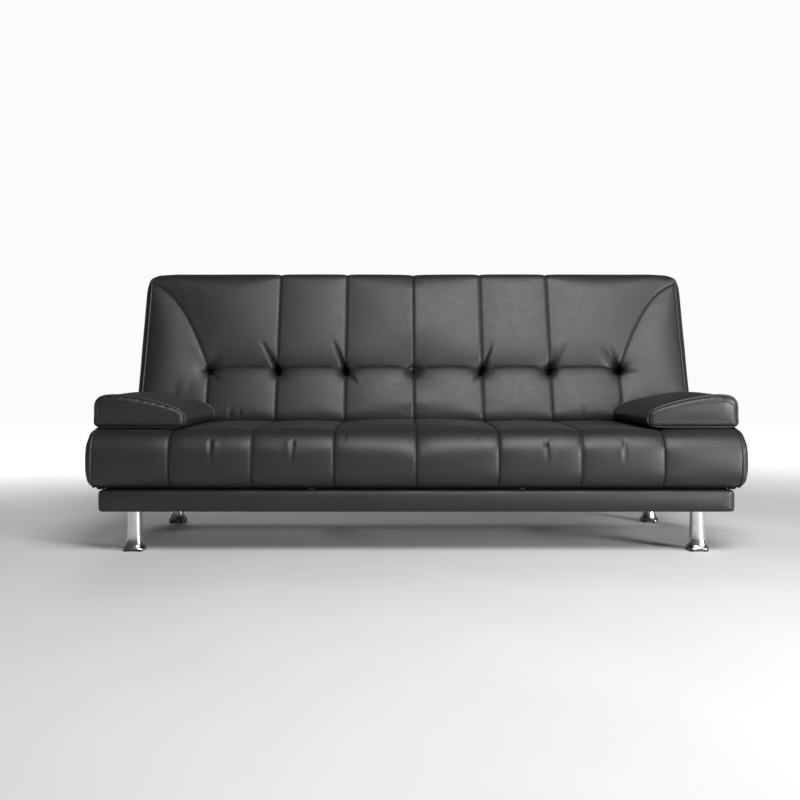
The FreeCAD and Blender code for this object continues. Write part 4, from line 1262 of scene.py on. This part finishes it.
@dataclass
class ArmPad(Pad):
    """A wedge arm pad: thick outside, a rounded nose inside, crowned on top and welted round both ends.

    Attributes:
        sign: -1 for the left arm, 1 for the right one.
        crown: How far its sloping top swells.
        nose_radius: Rounding of its thin inner edge.
        welt_inset: Distance of the welt's groove from each end.
    """

    sign: int = 1
    crown: float = 0.013
    nose_radius: float = 0.019
    welt_inset: float = 0.013

    def build(self) -> bpy.types.Object:
        """Model the arm pad."""
        piece = self.copy_node()
        low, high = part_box(self.node)
        inner = low.x if self.sign > 0 else high.x
        outer = high.x if self.sign > 0 else low.x
        points = points_of(piece)
        nose = (inner, None) if self.sign > 0 else (None, inner)
        round_edge(points, 0, nose, 2, (low.z, low.z + 2.1 * self.nose_radius), self.nose_radius)
        round_edge(points, 1, (low.y, high.y), 2, (None, high.z), 0.012)
        round_edge(points, 1, (low.y, high.y), 0, (low.x, high.x), 0.014)
        share = np.clip((points[:, 0] - inner) / (outer - inner), 0, 1)
        height = np.clip((points[:, 2] - low.z) / (high.z - low.z), 0, 1)
        along = (points[:, 1] - low.y) / (high.y - low.y)
        swell = np.sin(np.pi * np.clip(share / 0.85, 0, 1)) ** 0.8
        lengthwise = 0.75 + 0.25 * np.sin(np.pi * along)
        points[:, 2] += self.crown * swell * smoothstep(0.1, 0.5, height) * lengthwise
        set_points(piece, points)
        normals = normals_of(piece)
        bottom = points[:, 2] < low.z + 0.016
        ends = smoothstep(0.7, 0.95, np.abs(normals[:, 1]))
        near_end = np.minimum(points[:, 1] - low.y, high.y - points[:, 1])
        groove = np.exp(-((near_end - self.welt_inset) ** 2) / 0.004**2) * (ends < 0.3) * ~bottom
        lift = -0.0030 * groove + 0.002 * ends
        set_points(piece, points + normals * lift[:, None])
        held = bottom | (np.abs(near_end - self.welt_inset) < 0.004) & (ends < 0.3)
        self.inflate(piece, held)
        apply_modifier(piece, "SMOOTH", {"factor": 0.5, "iterations": 3})
        apply_modifier(piece, "SUBSURF", {"levels": 1, "render_levels": 1})
        write_seam_and_shade(piece, np.zeros(len(piece.data.vertices)))
        return self.finish(piece)

    def welts(self, piece: bpy.types.Object, material: bpy.types.Material) -> None:
        """Lay a welt round the front and rear panels of the arm.

        Args:
            piece: The finished arm pad.
            material: Finish of the welt.
        """
        low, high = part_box(self.node)
        centre = ((low.x + high.x) / 2 + 0.03 * self.sign, low.z + 0.032)
        for place, level in (("front", low.y + 0.010), ("rear", high.y - 0.010)):
            angles = np.linspace(0, 2 * math.pi, 160, endpoint=False)
            tree = BVHTree.FromObject(piece, bpy.context.evaluated_depsgraph_get())
            route = []
            for angle in angles:
                way = Vector((math.cos(angle), 0, 0.45 * math.sin(angle))).normalized()
                start = Vector((centre[0], level, centre[1])) + way * 0.4
                spot, _, _, _ = tree.ray_cast(start, -way)
                if spot is not None:
                    route.append(spot)
            outline = np.array(route)
            inset = np.array([centre[0], level, centre[1]])
            inner = inset + (outline - inset) * np.array([0.915, 1.0, 0.72])
            inner[:, 1] = low.y - 0.004 if place == "front" else high.y + 0.004
            for kind, line, radius in (("welt", outline, 0.0034), ("topstitch", inner, 0.0012)):
                cord = welt(f"{self.name}_{place}_{kind}", piece, line, radius, True, 0.22)
                dress(cord, material)
                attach(cord, self.body)
                report(cord)


@dataclass
class RailCover(Pad):
    """The padded cover of one side of the base.

    Attributes:
        round_x: Ends of the cover that have rounded upright corners.
        round_y: Faces of the cover that have rounded upright corners.
        crown_height: Height of the cover's crowned top, where the seat rests.
    """

    round_x: tuple[bool, bool] = (True, True)
    round_y: tuple[bool, bool] = (True, False)
    crown_height: float = 0.1782

    def build(self) -> bpy.types.Object:
        """Model the cover."""
        piece = self.copy_node()
        low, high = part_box(self.node)
        points = points_of(piece)
        walls_x = (low.x if self.round_x[0] else None, high.x if self.round_x[1] else None)
        walls_y = (low.y if self.round_y[0] else None, high.y if self.round_y[1] else None)
        round_edge(points, 0, walls_x, 1, walls_y, 0.024)
        round_edge(points, 0, walls_x, 2, (low.z, high.z), 0.017)
        round_edge(points, 1, walls_y, 2, (low.z, high.z), 0.013)
        set_points(piece, points)
        normals = normals_of(piece)
        outward = np.zeros(len(points))
        for axis, walls in ((0, walls_x), (1, walls_y)):
            for wall, sign in zip(walls, (-1, 1)):
                if wall is not None:
                    close = np.abs(points[:, axis] - wall) < 0.014
                    outward = np.maximum(outward, close * smoothstep(0.3, 0.9, sign * normals[:, axis]))
        set_points(piece, points - normals * 0.002 * outward[:, None])
        self.inflate(piece, outward < 0.2, frames=14)
        apply_modifier(piece, "SMOOTH", {"factor": 0.5, "iterations": 3})
        apply_modifier(piece, "SUBSURF", {"levels": 1, "render_levels": 1})
        points = points_of(piece)
        lowest, highest = points.min(0), points.max(0)
        ends, faces = (
            tuple(
                None if wall is None else grown
                for grown, wall in zip((lowest[axis], highest[axis]), walls)
            )
            for axis, walls in enumerate((walls_x, walls_y))
        )
        round_edge(points, 0, ends, 2, (lowest[2], highest[2]), 0.018)
        round_edge(points, 1, faces, 2, (lowest[2], highest[2]), 0.012)
        top = points[:, 2].max()
        inset = np.full(len(points), 1.0)
        for axis, walls in ((0, ends), (1, faces)):
            for wall in walls:
                if wall is not None:
                    inset = np.minimum(inset, np.abs(points[:, axis] - wall))
        inner = smoothstep(0.013, 0.024, inset)
        points[:, 2] += (self.crown_height - top) * smoothstep(top - 0.012, top, points[:, 2]) * inner
        set_points(piece, points)
        # Painted shade: the top of the crowned cover darkens, under the seat's lower edge.
        write_seam_and_shade(piece, smoothstep(top - 0.004, top, points[:, 2]))
        return self.finish(piece)


@dataclass
class Upholstery:
    """All the padded pieces and their welts.

    Attributes:
        layout: Places from the frame.
        leather: Cover of the pads.
        piping: Cover of the welts.
        rear: Thin vinyl on the back's rear.
        welt_radius: Radius of the welts at the ends of the seat and the back.
    """

    layout: Layout
    leather: bpy.types.Material
    piping: bpy.types.Material
    rear: bpy.types.Material
    welt_radius: float = 0.0034

    def add_welt(self, name: str, skin: bpy.types.Object, route: Array, body: str) -> None:
        """Lay an open welt on a pad.

        Args:
            name: Name of the piece.
            skin: The pad.
            route: Places near its surface.
            body: The body that it rides on.
        """
        cord = welt(name, skin, route, self.welt_radius, False)
        dress(cord, self.piping)
        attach(cord, body)
        report(cord)

    def seat(self) -> None:
        """Build the seat and its end welts."""
        pad = SeatPad(
            "seat_pad", "seat_cushion", "seat", self.leather, voxel=0.0085, cap=0.010, layout=self.layout
        ).build()
        low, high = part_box("seat_pad")
        radius = 0.078
        lower = 0.045
        for side, sign in SIDES:
            edge = sign * (self.layout.half_width - 0.014)
            corner = [(edge, high.y - 0.03, high.z)]
            corner += [(edge, y, high.z) for y in np.linspace(high.y - 0.06, low.y + radius, 60)]
            turn = np.linspace(0, math.pi / 2, 16)
            corner += [
                (edge, low.y + radius * (1 - math.sin(a)), high.z - radius * (1 - math.cos(a)))
                for a in turn
            ]
            corner += [
                (edge, low.y + lower * (1 - math.cos(a)), low.z + lower * (1 - math.sin(a))) for a in turn
            ]
            self.add_welt(f"seat_welt_{side}", pad, np.array(corner), "seat")

    def back(self) -> None:
        """Build the back, its end welts and its rear panel."""
        matrix = self.layout.back_matrix
        shape = BackPad(
            "back_pad",
            "back_cushion",
            "back",
            self.leather,
            voxel=0.008,
            cap=0.011,
            layout=self.layout,
            matrix=matrix,
        )
        pad = shape.build()
        radius = 0.045
        peak = shape.top - 0.022
        turn = np.linspace(0, math.pi / 2, 14)
        for side, sign in SIDES:
            edge = sign * (self.layout.half_width - 0.013)
            rise = [(edge, shape.face_y, z) for z in np.linspace(0.05, peak - radius, 60)]
            rise += [
                (edge, shape.face_y + radius * (1 - math.cos(a)), peak - radius + radius * math.sin(a))
                for a in turn
            ]
            rise += [
                (edge, shape.rear_y - radius * (1 - math.cos(a)), peak - radius + radius * math.sin(a))
                for a in turn[::-1]
            ]
            rise += [(edge, shape.rear_y, z) for z in np.linspace(peak - 0.055, 0.05, 60)]
            route = turned(np.array(rise), matrix)
            self.add_welt(f"back_welt_{side}", pad, route, "back")
        self.rear_panel()

    def rear_panel(self) -> None:
        """Build the vinyl-covered panel that closes the rear of the back."""
        matrix = self.layout.back_matrix
        inverse = matrix.inverted()
        corners = turned(points_of(frame["nodes"]["back_rear_panel"]), inverse)
        low, high = corners.min(0), corners.max(0)
        margin = 0.010
        centre = (low + high) / 2
        size = high - low
        deselect_all()
        bpy.ops.mesh.primitive_cube_add(size=1, location=tuple(centre + np.array([0, 0.0012, 0])))
        panel = bpy.context.view_layer.objects.active
        panel.name = "rear_panel"
        panel.scale = (size[0] + 2 * margin, size[1] + 0.0016, size[2] + 2 * margin)
        settle(panel)
        bpy.ops.object.mode_set(mode="EDIT")
        bpy.ops.mesh.select_all(action="SELECT")
        bpy.ops.mesh.subdivide(number_cuts=40)
        bpy.ops.object.mode_set(mode="OBJECT")
        points = points_of(panel)
        edge = np.minimum(
            size[0] / 2 + margin - np.abs(points[:, 0] - centre[0]),
            size[2] / 2 + margin - np.abs(points[:, 2] - centre[2]),
        )
        back_face = points[:, 1] > centre[1]
        hollow = -0.0012 * smoothstep(0.05, 0.2, edge) + 0.0012 * np.exp(-(((edge - 0.03) / 0.02) ** 2))
        points[:, 1] += hollow * back_face
        set_points(panel, points)
        apply_modifier(
            panel, "BEVEL", {"width": 0.0014, "segments": 2, "limit_method": "ANGLE", "angle_limit": 1.0}
        )
        settle_matrix(panel, matrix)
        write_seam_and_shade(panel, np.zeros(len(panel.data.vertices)))
        dress(panel, self.rear)
        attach(panel, "back")
        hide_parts("back_rear_panel")
        report(panel)

    def arms(self) -> None:
        """Build both arm pads and their welts."""
        for side, sign in SIDES:
            arm = ArmPad(
                f"arm_pad_{side}",
                f"arm_cushion_{side}",
                f"arm_{side}",
                self.leather,
                voxel=0.005,
                cap=0.006,
                sign=sign,
            )
            arm.welts(arm.build(), self.piping)

    def rails(self) -> None:
        """Build the padded covers of the base."""
        shapes = {
            "front": ((True, True), (True, False)),
            "rear": ((True, True), (False, True)),
            "left": ((True, False), (False, False)),
            "right": ((False, True), (False, False)),
        }
        for place, (round_x, round_y) in shapes.items():
            RailCover(
                f"{place}_rail_cover",
                f"{place}_rail_wrap",
                "base",
                self.leather,
                voxel=0.0045,
                cap=0.003,
                pressure=3.0,
                fill=0.9,
                round_x=round_x,
                round_y=round_y,
            ).build()


def settle_matrix(piece: bpy.types.Object, matrix: Matrix) -> None:
    """Carry a mesh through a matrix, so that its object stays at the origin.

    Args:
        piece: The object.
        matrix: The matrix.
    """
    set_points(piece, turned(points_of(piece), matrix))


# ---------------------------------------------------------------- legs


@dataclass
class Legs:
    """Chrome legs with a swept, four-toed foot.

    Attributes:
        chrome: Finish of the legs.
        sides: Corners of the round leg.
    """

    chrome: bpy.types.Material
    sides: int = 96

    def profile(self, rise: float) -> tuple[float, float]:
        """How far the foot stands out from the tube at a height.

        Args:
            rise: Height over the foot's underside.

        Returns:
            The spread of a toe, and the spread of the hollow between two toes.
        """
        sweep = 0.62 * math.exp(-rise / 0.0110) + 0.38 * math.exp(-rise / 0.036)
        rim = 0.0025 * math.exp(-(((rise - 0.004) / 0.003) ** 2))
        return 0.0150 * sweep + rim, 0.0098 * sweep

    def build_one(self, place: str) -> bpy.types.Object:
        """Model one leg.

        Args:
            place: Which leg, such as front_left.

        Returns:
            The leg.
        """
        low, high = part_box(f"leg_{place}")
        centre = (low + high) / 2
        tube = 0.020
        deselect_all()
        bpy.ops.mesh.primitive_cylinder_add(
            vertices=self.sides, radius=tube, depth=high.z - low.z, location=centre, end_fill_type="NGON"
        )
        leg = bpy.context.view_layer.objects.active
        leg.name = f"chrome_leg_{place}"
        settle(leg)
        bpy.ops.object.mode_set(mode="EDIT")
        for rise in [*np.linspace(0.0012, 0.0300, 22), *np.linspace(0.034, 0.104, 12)]:
            bpy.ops.mesh.select_all(action="SELECT")
            bpy.ops.mesh.bisect(plane_co=(0, 0, low.z + rise), plane_no=(0, 0, 1))
        bpy.ops.object.mode_set(mode="OBJECT")
        points = points_of(leg)
        across = points[:, 0] - centre.x
        along = points[:, 1] - centre.y
        angle = np.arctan2(along, across)
        toes = (0.5 + 0.5 * np.cos(4 * (angle - math.pi / 4))) ** 1.3
        reach = np.hypot(across, along)
        spread = np.empty(len(points))
        for index, rise in enumerate(points[:, 2] - low.z):
            toe, hollow = self.profile(float(rise))
            spread[index] = hollow + (toe - hollow) * toes[index]
        scale = np.where(reach > 1e-6, (reach + spread) / np.maximum(reach, 1e-9), 1.0)
        points[:, 0] = centre.x + across * scale
        points[:, 1] = centre.y + along * scale
        lift = 0.0040 * (1 - toes) * np.exp(-(points[:, 2] - low.z) / 0.010)
        points[:, 2] += lift * (reach > 1e-6)
        set_points(leg, points)
        apply_modifier(
            leg, "BEVEL", {"width": 0.0009, "segments": 2, "limit_method": "ANGLE", "angle_limit": 0.9}
        )
        dress(leg, self.chrome, 55)
        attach(leg, "base")
        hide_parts(f"leg_{place}")
        report(leg)
        return leg

    def build(self) -> None:
        """Model all the legs."""
        for end in ("front", "rear"):
            for side, _ in SIDES:
                self.build_one(f"{end}_{side}")


# ---------------------------------------------------------------- frame dressing


@dataclass
class Framework:
    """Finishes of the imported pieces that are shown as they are.

    Attributes:
        coats: Finish of each coat name.
    """

    coats: dict[Coat, bpy.types.Material]

    def coat_of(self, node: str) -> Coat:
        """Choose the finish of a node by what it is.

        Args:
            node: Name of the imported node.

        Returns:
            Its coat.
        """
        rules = [
            ("springs", Coat.SPRING_WIRE),
            ("clips", Coat.CLIP),
            ("tube", Coat.POWDER_COAT),
            ("socket", Coat.POWDER_COAT),
            ("rail_board", Coat.PINE),
            ("cross_bars", Coat.PINE),
            ("corner_plates", Coat.PLYWOOD),
            ("arm_board", Coat.PLYWOOD),
            ("dust_cover", Coat.DUST_CLOTH),
            ("toe_pads", Coat.RUBBER),
            ("bumpers", Coat.RUBBER),
        ]
        for word, coat in rules:
            if word in node:
                return coat
        return Coat.ZINC_PLATE

    def build(self, replaced: set[str]) -> None:
        """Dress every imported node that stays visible.

        Args:
            replaced: Nodes that a modelled piece stands for.
        """
        for node, piece in frame["nodes"].items():
            if node in replaced:
                continue
            piece.data.materials.clear()
            piece.data.materials.append(self.coats[self.coat_of(node)])
            LOG.info("%s: %s", node, self.coat_of(node).value)


# ---------------------------------------------------------------- stage


@dataclass(frozen=True)
class Studio:
    """A pale floor, soft lights and the camera.

    Attributes:
        distance: Camera to the seat's front.
        height: Camera height.
        aside: Camera to the sofa's middle.
        lens: Focal length in mm on a 36 mm wide sensor.
        shift: Upward shift of the frame.
    """

    distance: float = 2.706
    height: float = 0.489
    aside: float = -0.045
    lens: float = 45.0
    shift: float = -0.031

    def floor(self) -> None:
        """Lay the floor, which has painted light: it glows more the farther it lies from the sofa."""
        deselect_all()
        bpy.ops.mesh.primitive_plane_add(size=40)
        ground = bpy.context.view_layer.objects.active
        ground.name = "studio_floor"
        material, tree, shader, place = new_material("pale_floor_with_painted_light")
        mottle = add_node(tree, "ShaderNodeTexNoise", inputs={"Vector": place, "Scale": 3.0, "Detail": 4.0})
        tone = ramp_node(tree, mottle.outputs["Fac"], [(0.3, "#c4c4c4"), (0.7, "#c8c8c8")])
        tree.links.new(tone.outputs["Color"], shader.inputs["Base Color"])
        # Painted light: emission grows with distance from a point in front of the sofa, lifting the far
        # floor where the lamps fall off.
        away = add_node(
            tree, "ShaderNodeVectorMath", {"operation": "DISTANCE"}, {0: place, 1: (0.0, -1.0, 0.0)}
        )
        painted_light_glow = add_node(
            tree,
            "ShaderNodeMapRange",
            {"interpolation_type": "SMOOTHSTEP"},
            {"Value": away.outputs["Value"], "From Min": 1.8, "From Max": 4.6, "To Max": 0.92},
        )
        tree.links.new(painted_light_glow.outputs["Result"], shader.inputs["Emission Strength"])
        shader.inputs["Emission Color"].default_value = linear("#ffffff")
        shader.inputs["Roughness"].default_value = 0.85
        ground.data.materials.append(material)

    def backdrop(self) -> None:
        """Hang a white backdrop all round, which shows behind the sofa but throws no light on it."""
        deselect_all()
        bpy.ops.mesh.primitive_uv_sphere_add(segments=48, ring_count=24, radius=18, location=(0, 0, 0.1))
        screen = bpy.context.view_layer.objects.active
        screen.name = "studio_backdrop"
        material, tree, shader, _ = new_material("white_paper_backdrop")
        shader.inputs["Base Color"].default_value = linear("#000000")
        shader.inputs["Specular IOR Level"].default_value = 0.0
        shader.inputs["Emission Color"].default_value = linear("#fbfbfb")
        shader.inputs["Emission Strength"].default_value = 1.0
        screen.data.materials.append(material)
        screen.visible_diffuse = False
        screen.visible_glossy = False
        screen.visible_shadow = False

    def lamp(
        self,
        name: str,
        place: tuple[float, float, float],
        aim: tuple[float, float, float],
        size: float,
        power: float,
        glossy: bool = True,
    ) -> None:
        """Hang a square soft box.

        Args:
            name: Name of the light.
            place: Where it hangs.
            aim: The point that it faces.
            size: Side length.
            power: Power in watts.
            glossy: Whether it shows as a highlight.
        """
        light = bpy.data.lights.new(name, "AREA")
        light.size = size
        light.energy = power
        holder = bpy.data.objects.new(name, light)
        bpy.context.scene.collection.objects.link(holder)
        holder.location = place
        holder.rotation_euler = (Vector(aim) - Vector(place)).to_track_quat("-Z", "Y").to_euler()
        holder.visible_glossy = glossy

    def build(self, layout: Layout) -> None:
        """Set the floor, lights, sky and camera up.

        Args:
            layout: Places from the frame.
        """
        self.floor()
        self.backdrop()
        self.lamp("high_front", (0.7, -2.35, 3.1), (0.1, 0.0, 0.5), 2.0, 145)
        self.lamp("right", (2.7, -2.5, 0.8), (0.6, -0.2, 0.3), 0.9, 118)
        self.lamp("rear", (-1.4, 2.8, 2.2), (0.0, 0.2, 0.4), 1.8, 60, glossy=False)
        world = bpy.data.worlds.new("studio_dim")
        world.use_nodes = True
        world.node_tree.nodes["Background"].inputs["Color"].default_value = linear("#ffffff")
        world.node_tree.nodes["Background"].inputs["Strength"].default_value = 0.06
        bpy.context.scene.world = world
        bpy.context.scene.view_settings.view_transform = "Standard"
        camera = bpy.data.cameras.new("photographer")
        camera.lens = self.lens
        camera.sensor_width = 36
        camera.shift_y = self.shift
        holder = bpy.data.objects.new("photographer", camera)
        bpy.context.scene.collection.objects.link(holder)
        holder.location = (self.aside, layout.front - self.distance, self.height)
        holder.rotation_euler = (math.pi / 2, 0, 0)
        bpy.context.scene.camera = holder


def main() -> None:
    """Build the sofa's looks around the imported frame."""
    logging.basicConfig(level=logging.INFO, format="%(message)s")
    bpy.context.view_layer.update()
    layout = read_layout()
    Studio().build(layout)
    coats = {coat: finish.build() for coat, finish in COATS.items()}
    upholstery = Upholstery(layout, SEAT_LEATHER.build(), WELT_LEATHER.build(), REAR_VINYL.build())
    upholstery.seat()
    upholstery.back()
    upholstery.arms()
    upholstery.rails()
    Legs(CHROME.build()).build()
    replaced = {"seat_pad", "back_pad", "back_rear_panel"}
    replaced |= {f"arm_pad_{side}" for side, _ in SIDES}
    replaced |= {f"{place}_rail_cover" for place in ("front", "rear", "left", "right")}
    replaced |= {f"leg_{end}_{side}" for end in ("front", "rear") for side, _ in SIDES}
    Framework(coats).build(replaced)


if __name__ == "__main__":
    main()
